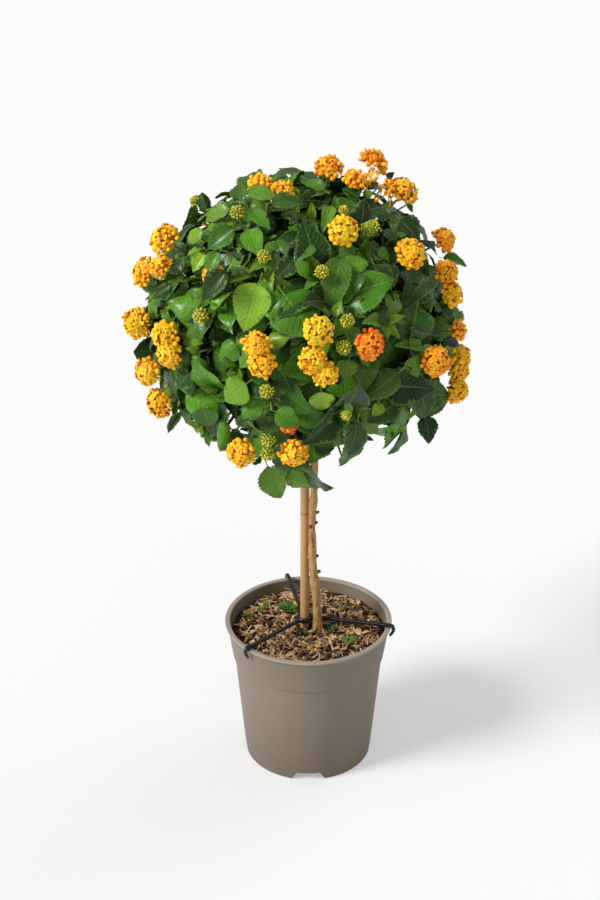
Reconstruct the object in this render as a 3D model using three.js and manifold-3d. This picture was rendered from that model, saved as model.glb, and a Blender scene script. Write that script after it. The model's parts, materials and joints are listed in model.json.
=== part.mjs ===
// A lantana grown as a standard: a round crown of toothed leaves and golden flower heads on one bare
// woody trunk, beside a cane, in a round nursery pot topped with bark mulch. A three-armed plastic
// anchor clips the cane to the pot's rim. Millimetres, +Z up. The origin is on the pot's axis, on the
// surface that the pot stands on, and -Y is the plant's show side.
import * as THREE from "three";
import { ConvexGeometry } from "three/addons/geometries/ConvexGeometry.js";
import { ConvexHull } from "three/addons/math/ConvexHull.js";
import { mergeVertices } from "three/addons/utils/BufferGeometryUtils.js";
import Module from "manifold-3d";

const wasm = await Module();
wasm.setup();

// ---------------------------------------------------------------- driving dimensions
const GAP = 0.35; // between solids that touch on the real plant

const POT = { height: 174, rim: 96, lip: 2.6, mouth: 90, shoulder: 93, band: 87.2, ledge: 129, neck: 85.4 };
POT.band_top = POT.height - POT.lip - 3;
POT.foot = 73.8;
POT.wall = 1.9;
POT.floor = 3;
POT.chamfer = 1.6;
const POT_SIDES = 30;
const CHANNEL = { count: 4, width: 39, top: 27, height: 10, inner: 34, roof: 2 };
const DRAIN = { radius: 7, from_axis: 50, sides: 10 };
const CUT_PAST = 5; // how far a cutting shape runs past the surface it cuts

const SOIL_TOP = 150;
const MULCH = { top: 160, rings: 3, sides: 22, relief: 0.55, level_round_stems: 15 };
const CHIPS = { count: 12, reach: 76, thick: 2 };
const STAKE = { x: -4.2, y: 2, radius: 5.3, foot: 22, top: 455, sides: 14, knot: 310, knot_half: 3 };
const TRUNK = { x: 10.8, y: -8, foot: 90, radius: 4.4, socket: 5.4, sides: 7 };
const HOLE_ROOM = 1.6 * GAP; // between a round stem and its hole, whose flats lie nearer than its corners

const ANCHOR = { rod: 2.4, hub: 8, hub_z: 173, arms: [-13, 105, 225], over_rim: 3.2, leg: 10 };

// The crown is a ball round this point. Its leafy stems stay outside a shaft round the trunk.
const CROWN = { x: -10, y: 0, z: 536, core: 108, shaft: 25 };
const HEAD_REACH = 172; // from the crown's middle to the middle of a flower head
const SHOOT = { start: 88, radius: 1.6, clear: 3, flower_node: 136, leaf_node: 142, spacing: 20 };
const BRANCH = { radius: 3, start: 10, end: 62, sides: 3 };

// A leaf's edge from its stalk to the last notch: [share of the length, share of the half width].
const EDGE = [[0.22, 1], [0.36, 0.8], [0.57, 0.82], [0.68, 0.5]];
const LEAF = { half_width: 0.35, stalk: 0.2, fold: 0.3, arch: 0.16, sag: 0.1, thick: 1.7 };
const WEED_EDGE = [[0.35, 1], [0.7, 0.95]];
// A leaf leaves its shoot at this tilt, the next pair down more so and a little longer. Its blade
// droops and turns its face part way up.
const POSE = { tilt: 62, tilt_step: 20, growth: 0.06, droop: 0.28, face_up: 0.35 };
// A leaf that meets another folds up and shrinks in these steps, and swings aside by these angles.
const SETTLE = { steps: 8, fold: 0.08, shrink: 0.05, swings: [0, 24, -24, 48, -48] };

// A flower head as shares of its radius: how high it domes, how deep it is below, how deep the valleys
// between its florets lie, and how far its foot is under its middle.
const HEAD = { dome: 0.86, underside: 0.45, valley: 0.8, foot: 0.62, lowest_floret: 0.93 };
const HEAD_LAYERS = [[5, 47], [6, 88], [3, 128]]; // florets, and degrees from the middle floret
const BUD_LAYERS = [[5, 72]];

// Open flower heads on the show side as [turn, rise, radius, reach]: turn goes round the crown from
// the show side towards +X and rise goes up from its equator, in degrees. Heads in one row grow
// against each other and are one body.
const NEAR_HEADS = [
  [[-76, 36, 17]],
  [[-81, 22, 15.5]],
  [[-77, 6, 17]],
  [[-46, 71, 15.5]],
  [[-16, 68, 16]],
  [[-65, 29, 12.5]],
  [[-35, 33, 11]],
  [[-51, 9, 15], [-48, 3.5, 14.5]],
  [[-64, -8, 16]],
  [[-62, -20, 16.5]],
  [[-14, 13, 14], [-12, 7, 14]],
  [[-23, -30, 15.5]],
  [[-4, -16, 13.5]],
  [[-2, -27, 15.5]],
  [[63, 79, 15]],
  [[117, 62, 15.5, 182]],
  [[106, 50, 17]],
  [[63, 69, 12]],
  [[22, 50, 16]],
  [[51, 37, 16.5]],
  [[95, 30, 14.5]],
  [[70, 25, 14], [68, 18, 14]],
  [[6, 18, 15.5]],
  [[8, 4, 13], [4, 8.5, 14]],
  [[23, 12, 15]],
  [[51, 0, 16.5]],
  [[68, 5, 11]],
  [[74, -7, 14.5], [77, -13, 15.5], [75, -19, 15.5, 178]],
];
// The other heads keep to the side that faces away from a viewer in front of and above the plant.
const VIEWER = { turn: 0, rise: 25 };
const FAR_HEADS = { count: 11, spread: 28, apart: 23, facing: -0.25, lowest: -0.62, radius: 15.5 };
const PARTNER = { every: 3, apart: 7.5 }; // degrees from a head to the one that grows against it

// Leafy shoots on the show side as [turn, rise, spin, blade length, bud radius].
const NEAR_SHOOTS = [
  [-42, 57, 20, 46, 6.5],
  [-16, 42, 60, 50, 6],
  [-37, 19, 0, 44, 7],
  [38, 50, 30, 50, 6.5],
  [9, 37, 75, 52, 6],
  [13, 27, 10, 56, 0],
  [-25, 1, 50, 46, 0],
  [44, 18, 35, 54, 0],
  [30, -8, 20, 56, 0],
  [-33, -11, 70, 46, 0],
  [-48, 31, 45, 46, 0],
  [-3, 29, 80, 58, 0],
  [17, -17, 40, 54, 0],
  [-11, -3, 15, 46, 6.5],
  [-33, 47, 65, 46, 0],
  [10, 61, 40, 46, 0],
  [-100, 78, 20, 50, 0],
  [110, 80, 65, 50, 0],
  [88, 3, 25, 48, 6],
  [52, -19, 70, 52, 0],
  [-74, -28, 60, 46, 0],
  [80, 55, 30, 46, 0],
  [90, 45, 60, 44, 0],
  [78, 12, 40, 44, 0],
  [66, -33, 10, 48, 0],
  [-84, -12, 20, 46, 0],
  [-90, 14, 50, 44, 0],
  [-8, -51, 40, 60, 0],
];
const SKIRT = { count: 8, rise: -41, first: -8, length: 46, node: 130 };
const FAR_SHOOTS = { spread: 25, apart: 16, behind: 0.02, lowest: -0.55, length: 56 };

// ---------------------------------------------------------------- helpers
const radians = THREE.MathUtils.degToRad;
const UP = new THREE.Vector3(0, 0, 1);
const HEART = new THREE.Vector3(CROWN.x, CROWN.y, CROWN.z);
const along = (start, direction, distance) => start.clone().addScaledVector(direction, distance);

function dice(seed) {
  let state = seed;
  return (low = 0, high = 1) => {
    state = (state * 48271) % 2147483647;
    return low + ((high - low) * state) / 2147483647;
  };
}

// The unit vector at a turn round the crown and a rise above its equator.
function direction(turn, rise) {
  const flat = Math.cos(radians(rise));
  return new THREE.Vector3(
    Math.sin(radians(turn)) * flat,
    -Math.cos(radians(turn)) * flat,
    Math.sin(radians(rise)),
  );
}

// Two unit vectors square to an axis, the first one level.
function crossAxes(axis) {
  const level = Math.abs(axis.z) > 0.99 ? new THREE.Vector3(1, 0, 0) : UP;
  const first = new THREE.Vector3().crossVectors(level, axis).normalize();
  return [first, new THREE.Vector3().crossVectors(axis, first)];
}

// Even places over a sphere, `spread` degrees apart, from the top down.
function evenDirections(spread) {
  const count = Math.round((4 * Math.PI) / radians(spread) ** 2);
  const golden = Math.PI * (3 - Math.sqrt(5));
  return Array.from({ length: count }, (_, i) => {
    const z = 1 - (2 * i + 1) / count;
    const flat = Math.sqrt(1 - z * z);
    return new THREE.Vector3(flat * Math.cos(golden * i), flat * Math.sin(golden * i), z);
  });
}

function toSolid(geometry) {
  const bare = geometry.clone();
  bare.deleteAttribute("normal");
  bare.deleteAttribute("uv");
  const merged = mergeVertices(bare, 1e-4);
  const vertProperties = merged.attributes.position.array;
  const triVerts = new Uint32Array(merged.index.array);
  return new wasm.Manifold(new wasm.Mesh({ numProp: 3, vertProperties, triVerts }));
}

function toGeometry(solid) {
  const { vertProperties, triVerts } = solid.getMesh();
  const geometry = new THREE.BufferGeometry();
  geometry.setAttribute("position", new THREE.BufferAttribute(vertProperties, 3));
  geometry.setIndex(new THREE.BufferAttribute(triVerts, 1));
  geometry.computeVertexNormals();
  return geometry;
}

const SPECK = 0.01; // edges shorter than this, which a join leaves where two pieces cross, are closed up
const joined = (solids) => solids.reduce((whole, piece) => whole.add(piece)).simplify(SPECK);

// A closed turned body on the Z axis from its profile of [radius, height], bottom to top.
function turned(profile, sides) {
  const points = profile.map(([radius, height]) => new THREE.Vector2(radius, height));
  return toSolid(new THREE.LatheGeometry(points, sides).rotateX(Math.PI / 2));
}

function post(x, y, bottom, top, radius, sides) {
  const geometry = new THREE.CylinderGeometry(radius, radius, top - bottom, sides);
  return toSolid(geometry.rotateX(Math.PI / 2).translate(x, y, (top + bottom) / 2));
}

// A round stem with one ring of corners at each point, closed at both ends. radiusAt(0..1) gives its
// radius from the first point to the last.
function stem(points, radiusAt, sides) {
  const last = points.length - 1;
  const geometry = new THREE.CylinderGeometry(1, 1, 1, sides, last);
  let across = null;
  const rings = points.map((point, i) => {
    const tangent = points[Math.min(i + 1, last)].clone().sub(points[Math.max(i - 1, 0)]).normalize();
    across = across ? across.clone() : crossAxes(tangent)[0];
    across.addScaledVector(tangent, -across.dot(tangent)).normalize();
    return { point, across, third: new THREE.Vector3().crossVectors(across, tangent) };
  });
  const position = geometry.attributes.position;
  for (let i = 0; i < position.count; i++) {
    const ring = Math.round((position.getY(i) + 0.5) * last);
    const { point, across: first, third } = rings[ring];
    const radius = radiusAt(ring / last);
    const corner = along(point, first, position.getX(i) * radius);
    corner.addScaledVector(third, position.getZ(i) * radius);
    position.setXYZ(i, corner.x, corner.y, corner.z);
  }
  return toSolid(geometry);
}

const vectors = (rows) => rows.map((row) => new THREE.Vector3(...row));
const smooth = (points, steps) =>
  new THREE.CatmullRomCurve3(points, false, "centripetal").getPoints(steps);

const material = (color, roughness) => new THREE.MeshStandardMaterial({ color, roughness, metalness: 0 });
const MATERIALS = {
  pot: material(0x857d71, 0.55),
  soil: material(0x3b2a1e, 0.95),
  mulch: material(0x9a7048, 0.9),
  cane: material(0xc79a63, 0.6),
  bark: material(0xb98a58, 0.85),
  anchor: material(0x17191a, 0.4),
  leaf: material(0x2c5d24, 0.5),
  weed: material(0x5c8a3a, 0.7),
  bloom: material(0xf59a12, 0.6),
};

const lantana = new THREE.Group();
function addNode(name, solid, look) {
  const mesh = new THREE.Mesh(toGeometry(solid), MATERIALS[look]);
  mesh.name = name;
  lantana.add(mesh);
}

// ---------------------------------------------------------------- pot, soil and mulch
const bodyRadius = (z) => POT.foot + ((POT.neck - POT.foot) * z) / POT.ledge;

// The pot's inside above the ledge widens from the band's foot to the mouth.
const BAND_INSIDE_FROM = POT.ledge + 2.4;
function insideRadius(z) {
  const share = (z - BAND_INSIDE_FROM) / (POT.band_top - BAND_INSIDE_FROM);
  return POT.band - POT.wall + (POT.mouth - POT.band + POT.wall) * share;
}

// One drainage channel under the base, as a bar with sloping sides pointing along turn.
function channel(turn, grown) {
  const bottom = CHANNEL.width / 2 + grown;
  const top = CHANNEL.top / 2 + grown;
  const section = new THREE.Shape();
  section.moveTo(-bottom, -CUT_PAST);
  section.lineTo(bottom, -CUT_PAST);
  section.lineTo(bottom, 0);
  section.lineTo(top, CHANNEL.height + grown);
  section.lineTo(-top, CHANNEL.height + grown);
  section.lineTo(-bottom, 0);
  const length = POT.rim - CHANNEL.inner + grown;
  const bar = new THREE.ExtrudeGeometry(section, { depth: length, bevelEnabled: false });
  bar.rotateX(Math.PI / 2).translate(0, grown - CHANNEL.inner, 0);
  return toSolid(bar.rotateZ(turn));
}

const channelTurns = Array.from({ length: CHANNEL.count }, (_, i) => (i * 2 * Math.PI) / CHANNEL.count);
const channels = (grown) => joined(channelTurns.map((turn) => channel(turn, grown)));

function makePot() {
  const { height, rim, lip, mouth, shoulder, band, band_top, ledge, neck, foot, wall, floor, chamfer } = POT;
  const outside = turned(
    [
      [0, 0],
      [foot - chamfer, 0],
      [bodyRadius(chamfer), chamfer],
      [neck, ledge],
      [band, ledge + chamfer],
      [shoulder, band_top],
      [rim - 1, height - lip],
      [rim, height - lip + 0.8],
      [rim, height - 0.8],
      [rim - 0.8, height],
      [0, height],
    ],
    POT_SIDES,
  );
  const hollow = turned(
    [
      [0, floor],
      [bodyRadius(floor) - wall, floor],
      [neck - wall, ledge + 0.6],
      [band - wall, BAND_INSIDE_FROM],
      [mouth, band_top],
      [mouth, height + CUT_PAST],
      [0, height + CUT_PAST],
    ],
    POT_SIDES,
  ).subtract(channels(CHANNEL.roof));
  const { radius, from_axis, sides } = DRAIN;
  const drains = channelTurns.map((turn) =>
    post(Math.sin(turn) * from_axis, -Math.cos(turn) * from_axis, CUT_PAST, 4 * CUT_PAST, radius, sides),
  );
  return outside.subtract(hollow).subtract(channels(0)).subtract(joined(drains));
}

// What stands in the soil and the mulch: the trunk, the cane and the weeds, as plain round holes.
const WEEDS = [
  { name: "weed_left", x: -24, y: 34, leaves: 5, length: 11, lean: 62 },
  { name: "weed_right", x: 46, y: -34, leaves: 4, length: 10, lean: 70 },
];
const WEED_STEM = 1.2;
const WEED_ROOT = 4; // how far a weed's stem goes into the soil
const holes = (bottom, top) =>
  joined([
    post(STAKE.x, STAKE.y, STAKE.foot - GAP, top, STAKE.radius + HOLE_ROOM, 12),
    post(TRUNK.x, TRUNK.y, TRUNK.foot - GAP, top, TRUNK.socket + HOLE_ROOM, 12),
    ...WEEDS.map((weed) => post(weed.x, weed.y, bottom, top, WEED_STEM + GAP, 6)),
  ]);

function makeSoil() {
  const { band, ledge, neck, wall, floor } = POT;
  const body = turned(
    [
      [0, floor + GAP],
      [bodyRadius(floor) - wall - GAP, floor + GAP],
      [neck - wall - GAP, ledge + 0.7],
      [band - wall - GAP - 0.1, BAND_INSIDE_FROM + 0.2],
      [insideRadius(SOIL_TOP) - GAP - 0.1, SOIL_TOP],
      [0, SOIL_TOP],
    ],
    POT_SIDES,
  );
  const weedRoots = SOIL_TOP - WEED_ROOT - 2;
  return body.subtract(channels(CHANNEL.roof + GAP)).subtract(holes(weedRoots, SOIL_TOP + CUT_PAST));
}

const farFromStems = (x, y, distance) =>
  [STAKE, TRUNK].every((stemAt) => Math.hypot(x - stemAt.x, y - stemAt.y) > distance);

// The mulch lies in low bumps, and level round the stems.
function mulchHeight(x, y) {
  const bumps = Math.sin(x * 0.21) + Math.sin(y * 0.17 + 1) + Math.sin((x + y) * 0.11);
  return MULCH.top + (farFromStems(x, y, MULCH.level_round_stems) ? MULCH.relief * bumps : 0);
}

// A scrap of bark lying about level on the mulch, half sunk in it.
function chip(random) {
  const long = random(9, 19);
  const scrap = new THREE.BoxGeometry(long, random(3, 6), CHIPS.thick);
  scrap.rotateX(random(-0.7, 0.7)).rotateY(random(-0.3, 0.3)).rotateZ(random(0, Math.PI));
  const turn = random(0, 2 * Math.PI);
  const from_axis = CHIPS.reach * Math.sqrt(random(0.02, 1));
  const x = from_axis * Math.cos(turn);
  const y = from_axis * Math.sin(turn);
  const isFree = farFromStems(x, y, MULCH.level_round_stems);
  return isFree ? toSolid(scrap.translate(x, y, mulchHeight(x, y))) : null;
}

function makeMulch() {
  const random = dice(11);
  const outer = insideRadius(SOIL_TOP) - 0.9;
  const profile = [[0, SOIL_TOP + GAP], [outer, SOIL_TOP + GAP]];
  for (let ring = MULCH.rings; ring >= 0; ring--) profile.push([(outer * ring) / MULCH.rings, MULCH.top]);
  const points = profile.map(([radius, height]) => new THREE.Vector2(radius, height));
  const bed = new THREE.LatheGeometry(points, MULCH.sides).rotateX(Math.PI / 2);
  const position = bed.attributes.position;
  for (let i = 0; i < position.count; i++) {
    const isTop = position.getZ(i) > MULCH.top - 1;
    if (isTop) position.setZ(i, mulchHeight(position.getX(i), position.getY(i)));
  }
  const chips = Array.from({ length: CHIPS.count }, () => chip(random)).filter(Boolean);
  return joined([toSolid(bed), ...chips]).subtract(holes(SOIL_TOP - CUT_PAST, MULCH.top + 4 * CUT_PAST));
}

addNode("pot", makePot(), "pot");
addNode("potting_soil", makeSoil(), "soil");
addNode("mulch", makeMulch(), "mulch");

// ---------------------------------------------------------------- cane, anchor and trunk
function makeStake() {
  const { x, y, radius, foot, top, sides, knot, knot_half } = STAKE;
  const slim = radius - 0.4;
  const cane = turned(
    [
      [0, foot],
      [slim, foot],
      [slim, knot - knot_half],
      [radius, knot],
      [slim, knot + knot_half],
      [slim, top],
      [0, top],
    ],
    sides,
  );
  return cane.translate(x, y, 0);
}

// One arm: out from the ring round the cane, over the pot's rim and down its outside.
function anchorArm(turn) {
  const out = new THREE.Vector2(Math.cos(radians(turn)), Math.sin(radians(turn)));
  const from = Math.max(turn, 20); // the arm beside the trunk leaves the ring behind it
  const start = new THREE.Vector3(
    STAKE.x + ANCHOR.hub * Math.cos(radians(from)),
    STAKE.y + ANCHOR.hub * Math.sin(radians(from)),
    ANCHOR.hub_z,
  );
  const at = (radius, z) => new THREE.Vector3(out.x * radius, out.y * radius, z);
  const top = POT.height + ANCHOR.over_rim;
  const outside = POT.rim + ANCHOR.rod + 0.9;
  const hook = [
    at(POT.rim - 3, top),
    at(outside - 1.6, top - 0.6),
    at(outside - 0.2, top - 3.2),
    at(outside, POT.height - ANCHOR.leg * 0.4),
    at(outside - 3, POT.height - ANCHOR.leg),
  ];
  return stem([start, at(POT.rim - 12, top - 0.4), ...hook], () => ANCHOR.rod, 5);
}

function makeAnchor() {
  const ring = new THREE.TorusGeometry(ANCHOR.hub, ANCHOR.rod, 5, 12);
  ring.translate(STAKE.x, STAKE.y, ANCHOR.hub_z);
  return joined([toSolid(ring), ...ANCHOR.arms.map(anchorArm)]);
}

// The trunk's line from its foot in the soil to the crown, its leaf scars as [height, turn round the
// trunk, radius], and the roots that show at its base.
const TRUNK_LINE = [
  [TRUNK.x, TRUNK.y, 166],
  [9.8, -7.6, 190],
  [7.5, -7, 220],
  [5, -6.6, 246],
  [3.9, -6.4, 280],
  [4.2, -6.4, 313],
  [6, -7.4, 345],
  [5.4, -8.8, 400],
  [1.5, -10, 460],
  [CROWN.x, CROWN.y, CROWN.z],
];
const SCARS = [
  [313, -5, 2.3],
  [300, 0, 2],
  [297, 200, 2.3],
  [259, 195, 2.7],
  [258, -5, 2.6],
  [237, 0, 2.4],
  [231, 190, 2.2],
  [213, 190, 2.4],
];
const ROOTS = [
  [[9, -10, 173], [6.5, -14, 166], [2, -14.5, 163.6], [-4, -13, 162.8]],
  [[12.5, -8, 168], [16, -11, 164.6], [19, -14, 163.2]],
];

function makeTrunk(stemAxes) {
  const { x, y, foot, radius, socket, sides } = TRUNK;
  const line = smooth(vectors(TRUNK_LINE), 17);
  const swelling = (share) => 0.35 * Math.sin(share * 44) + 0.25 * Math.sin(share * 23 + 1);
  const flare = (share) => Math.exp(-share * 22);
  const thickness = (share) => (share === 0 ? socket - 0.2 : radius + flare(share) + swelling(share));
  const pieces = [stem([new THREE.Vector3(x, y, foot), ...line], thickness, sides)];
  const scarFromAxis = radius - 0.5;
  for (const [height, turn, scarRadius] of SCARS) {
    const above = line.findIndex((point) => point.z > height);
    const share = (height - line[above - 1].z) / (line[above].z - line[above - 1].z);
    const centre = line[above - 1].clone().lerp(line[above], share);
    const knob = new THREE.OctahedronGeometry(scarRadius, 0).translate(
      centre.x + scarFromAxis * Math.cos(radians(turn)),
      centre.y + scarFromAxis * Math.sin(radians(turn)),
      centre.z,
    );
    pieces.push(toSolid(knob));
  }
  for (const root of ROOTS) pieces.push(stem(vectors(root), (share) => 2.2 - 1.1 * share, 4));
  for (const axis of stemAxes) {
    const branch = [BRANCH.start - 4, BRANCH.end].map((distance) => along(HEART, axis, distance));
    pieces.push(stem(branch, () => BRANCH.radius, BRANCH.sides));
  }
  const burl = new THREE.IcosahedronGeometry(BRANCH.start, 0);
  pieces.push(toSolid(burl.translate(HEART.x, HEART.y, HEART.z)));
  return joined(pieces);
}

addNode("stake", makeStake(), "cane");
addNode("stake_anchor", makeAnchor(), "anchor");

// ---------------------------------------------------------------- flower heads
function onBall([polar, turn]) {
  const flat = Math.sin(polar);
  return new THREE.Vector3(flat * Math.cos(turn), flat * Math.sin(turn), Math.cos(polar));
}

const ringOf = (count, polar, phase) =>
  Array.from({ length: count }, (_, i) => [polar, phase + (i * 2 * Math.PI) / count]);

// A domed head of florets: each floret is a raised cell of the dome, with a valley round it, and the
// head narrows to a point over its stalk. layers gives [florets, polar angle] from the crown down.
function flowerHead(centre, axis, radius, layers, random) {
  const [first, second] = crossAxes(axis);
  const places = [[0, 0]];
  for (const [count, polar] of layers) places.push(...ringOf(count, radians(polar), random(0, 6)));
  places.push([Math.PI, 0]);
  const florets = places.map(onBall);
  const place = (q, share) => {
    const height = (q.z > 0 ? HEAD.dome : HEAD.underside) * q.z;
    const point = along(centre, axis, radius * share * height);
    point.addScaledVector(first, radius * share * q.x);
    return point.addScaledVector(second, radius * share * q.y);
  };
  const { faces } = new ConvexHull().setFromPoints(florets);
  const corners = faces.map((face) => {
    const around = [face.edge, face.edge.next, face.edge.prev].map((edge) => edge.head().point);
    return { around, valley: face.normal.clone().normalize() };
  });
  const positions = [];
  for (const floret of florets) {
    const isFoot = floret.z < -0.99;
    const peak = isFoot
      ? along(centre, axis, -HEAD.foot * radius)
      : place(floret, random(HEAD.lowest_floret, 1));
    const [u, v] = crossAxes(floret);
    const turnOf = (corner) => Math.atan2(corner.valley.dot(v), corner.valley.dot(u));
    const own = corners.filter((corner) => corner.around.includes(floret));
    own.sort((a, b) => turnOf(a) - turnOf(b));
    own.forEach((corner, i) => {
      const next = own[(i + 1) % own.length];
      for (const point of [peak, place(corner.valley, HEAD.valley), place(next.valley, HEAD.valley)]) {
        positions.push(point.x, point.y, point.z);
      }
    });
  }
  const geometry = new THREE.BufferGeometry();
  geometry.setAttribute("position", new THREE.Float32BufferAttribute(positions, 3));
  return toSolid(geometry);
}

const headRandom = dice(77);
const degreesApart = (a, b) => THREE.MathUtils.radToDeg(a.angleTo(b));
function nearHead([turn, rise, radius, reach = HEAD_REACH]) {
  return { axis: direction(turn, rise), radius, reach };
}
const heads = NEAR_HEADS.map((group) => group.map(nearHead));

// The far side's heads lie evenly, clear of the ones that are there, and every third one has a partner.
const towardsViewer = direction(VIEWER.turn, VIEWER.rise);
for (const even of evenDirections(FAR_HEADS.spread)) {
  const jitter = new THREE.Vector3(headRandom(-1, 1), headRandom(-1, 1), headRandom(-1, 1));
  const axis = even.clone().addScaledVector(jitter, 0.07).normalize();
  const taken = heads.flat().some((head) => degreesApart(head.axis, axis) < FAR_HEADS.apart);
  const full = heads.length === NEAR_HEADS.length + FAR_HEADS.count;
  const inView = axis.dot(towardsViewer) > FAR_HEADS.facing;
  if (taken || full || inView || axis.z < FAR_HEADS.lowest) continue;
  const radius = FAR_HEADS.radius + headRandom(-1.5, 1.5);
  const group = [{ axis, radius, reach: HEAD_REACH }];
  if (heads.length % PARTNER.every === 0) {
    const beside = along(axis, crossAxes(axis)[0], Math.tan(radians(PARTNER.apart))).normalize();
    group.push({ axis: beside, radius: radius - 1.5, reach: HEAD_REACH });
  }
  heads.push(group);
}

// ---------------------------------------------------------------- leafy stems
// The crown's leafy stems: one at the top, five round its shoulder and seven round its skirt. Each
// keeps to the cone of directions that lie nearer to its own axis than to any other.
const ringAxes = (count, rise, first) =>
  Array.from({ length: count }, (_, i) => direction(first + (i * 360) / count, rise));
const stemAxes = [UP, ...ringAxes(5, 38, 14), ...ringAxes(7, -14, 0)];
const borders = stemAxes.map((own, i) =>
  stemAxes.filter((_, j) => j !== i).map((other) => own.clone().sub(other).normalize()),
);
const insideBy = (offset, stemNumber) => Math.min(...borders[stemNumber].map((wall) => wall.dot(offset)));

function nearestStem(axis) {
  const nearness = stemAxes.map((own) => own.dot(axis));
  return nearness.indexOf(Math.max(...nearness));
}

// Leans a direction towards its stem until a point at `reach` along it is clear of the cone's walls.
function leaned(axis, reach, stemNumber) {
  const lean = axis.clone();
  while (insideBy(lean.clone().multiplyScalar(reach), stemNumber) < SHOOT.clear) {
    lean.addScaledVector(stemAxes[stemNumber], 0.01).normalize();
  }
  return lean;
}

// The frame of a leaf that leaves its shoot at `tilt` from the shoot's axis, `around` it.
function leafFrame(shoot, node, tilt, around, length) {
  const [first, second] = crossAxes(shoot.axis);
  const outward = first.clone().multiplyScalar(Math.cos(around));
  outward.addScaledVector(second, Math.sin(around));
  const run = shoot.axis.clone().multiplyScalar(Math.cos(tilt));
  run.addScaledVector(outward, Math.sin(tilt)).addScaledVector(UP, -POSE.droop).normalize();
  const face = shoot.axis.clone().addScaledVector(UP, POSE.face_up);
  face.addScaledVector(run, -face.dot(run)).normalize();
  const side = new THREE.Vector3().crossVectors(run, face);
  return { base: along(HEART, shoot.axis, node), run, face, side, length };
}

// The leaf's vertices: the neck where its stalk meets the blade, its toothed edge on both sides, and
// its midrib, which is thick on both faces while the edge is sharp.
function leafPoints(leaf, edge = EDGE, sizes = LEAF) {
  const { base, run, face, side, length } = leaf;
  const at = (share, across, lift) => {
    const point = along(base, run, (sizes.stalk + share) * length);
    point.addScaledVector(face, -sizes.arch * share ** 2 * length + sizes.fold * Math.abs(across) + lift);
    return point.addScaledVector(UP, -sizes.sag * share ** 2 * length).addScaledVector(side, across);
  };
  const rim = (sign) => [
    at(0, sign * sizes.thick * 0.6, 0),
    ...edge.map(([share, width]) => at(share, sign * width * sizes.half_width * length, 0)),
    at(1, 0, 0),
  ];
  const rib = (sign) => [0, 0.45].map((share) => at(share, 0, (sign * sizes.thick) / 2));
  return { right: rim(1), left: rim(-1), above: rib(1), below: rib(-1) };
}

// A list of triangles that becomes one closed solid.
class Skin {
  positions = [];

  triangle(a, b, c) {
    for (const point of [a, b, c]) this.positions.push(point.x, point.y, point.z);
  }

  quad(a, b, c, d) {
    this.triangle(a, b, c);
    this.triangle(a, c, d);
  }

  solid() {
    const geometry = new THREE.BufferGeometry();
    geometry.setAttribute("position", new THREE.Float32BufferAttribute(this.positions, 3));
    return toSolid(geometry);
  }
}

// A blade's half face between its rib and its rim, and the same half seen from below: both are split
// into triangles alike, so that they never cross.
function halfFace(skin, rib, rim, flip) {
  const put = (a, b, c) => (flip ? skin.triangle(a, c, b) : skin.triangle(a, b, c));
  const middle = 2;
  for (let i = 1; i < rim.length; i++) {
    put(rib[i <= middle ? 0 : 1], rim[i - 1], rim[i]);
    if (i === middle) put(rib[0], rim[i], rib[1]);
  }
}

// The stalk and blade of a leaf, open at the stalk's end, whose four corners are
// [upper left, upper right, lower right, lower left].
function leafSkin(skin, { right, left, above, below }, [ul, ur, lr, ll]) {
  const [top, bottom] = [above[0], below[0]];
  skin.triangle(ul, ur, top);
  skin.triangle(ur, right[0], top);
  skin.triangle(ur, lr, right[0]);
  skin.triangle(lr, bottom, right[0]);
  skin.triangle(lr, ll, bottom);
  skin.triangle(ll, left[0], bottom);
  skin.triangle(ll, ul, left[0]);
  skin.triangle(ul, top, left[0]);
  halfFace(skin, above, right, false);
  halfFace(skin, above, left, true);
  halfFace(skin, below, right, true);
  halfFace(skin, below, left, false);
}

// A leaf by itself, with its stalk closed, as a solid.
function looseLeaf(points, root) {
  const skin = new Skin();
  leafSkin(skin, points, root);
  skin.quad(root[3], root[2], root[1], root[0]);
  return skin.solid();
}

// One corner of a twig's square section; face k looks along spin + k quarter turns, between corners
// k - 1 and k.
function twigCorner(shoot, distance, k) {
  const [first, second] = crossAxes(shoot.axis);
  const turn = shoot.spin + Math.PI / 4 + (k * Math.PI) / 2;
  const point = along(HEART, shoot.axis, distance);
  point.addScaledVector(first, SHOOT.radius * Math.cos(turn));
  return point.addScaledVector(second, SHOOT.radius * Math.sin(turn));
}

// The four corners where a leaf's stalk opens from face k of its twig.
function stalkRoot(shoot, node, k) {
  const half = SHOOT.radius * 0.6;
  return [
    twigCorner(shoot, node + half, k),
    twigCorner(shoot, node + half, k - 1),
    twigCorner(shoot, node - half, k - 1),
    twigCorner(shoot, node - half, k),
  ];
}

// A shoot as one closed skin: a square twig whose faces open into the stalks of its leaves.
function shootSolid(shoot, end, leaves) {
  const skin = new Skin();
  const half = SHOOT.radius * 0.6;
  const nodes = Array.from({ length: shoot.pairs }, (_, pair) => shoot.node - pair * SHOOT.spacing);
  const levels = [SHOOT.start, ...nodes.reverse().flatMap((node) => [node - half, node + half]), end];
  for (let level = 1; level < levels.length; level++) {
    for (let k = 0; k < 4; k++) {
      const isOpen = leaves.some((leaf) => leaf.k === k && leaf.node - half === levels[level - 1]);
      if (isOpen) continue;
      skin.quad(
        twigCorner(shoot, levels[level - 1], k - 1),
        twigCorner(shoot, levels[level - 1], k),
        twigCorner(shoot, levels[level], k),
        twigCorner(shoot, levels[level], k - 1),
      );
    }
  }
  skin.quad(...[3, 2, 1, 0].map((k) => twigCorner(shoot, SHOOT.start, k)));
  skin.quad(...[0, 1, 2, 3].map((k) => twigCorner(shoot, end, k)));
  for (const leaf of leaves) leafSkin(skin, leaf.points, leaf.root);
  return skin.solid();
}

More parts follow.
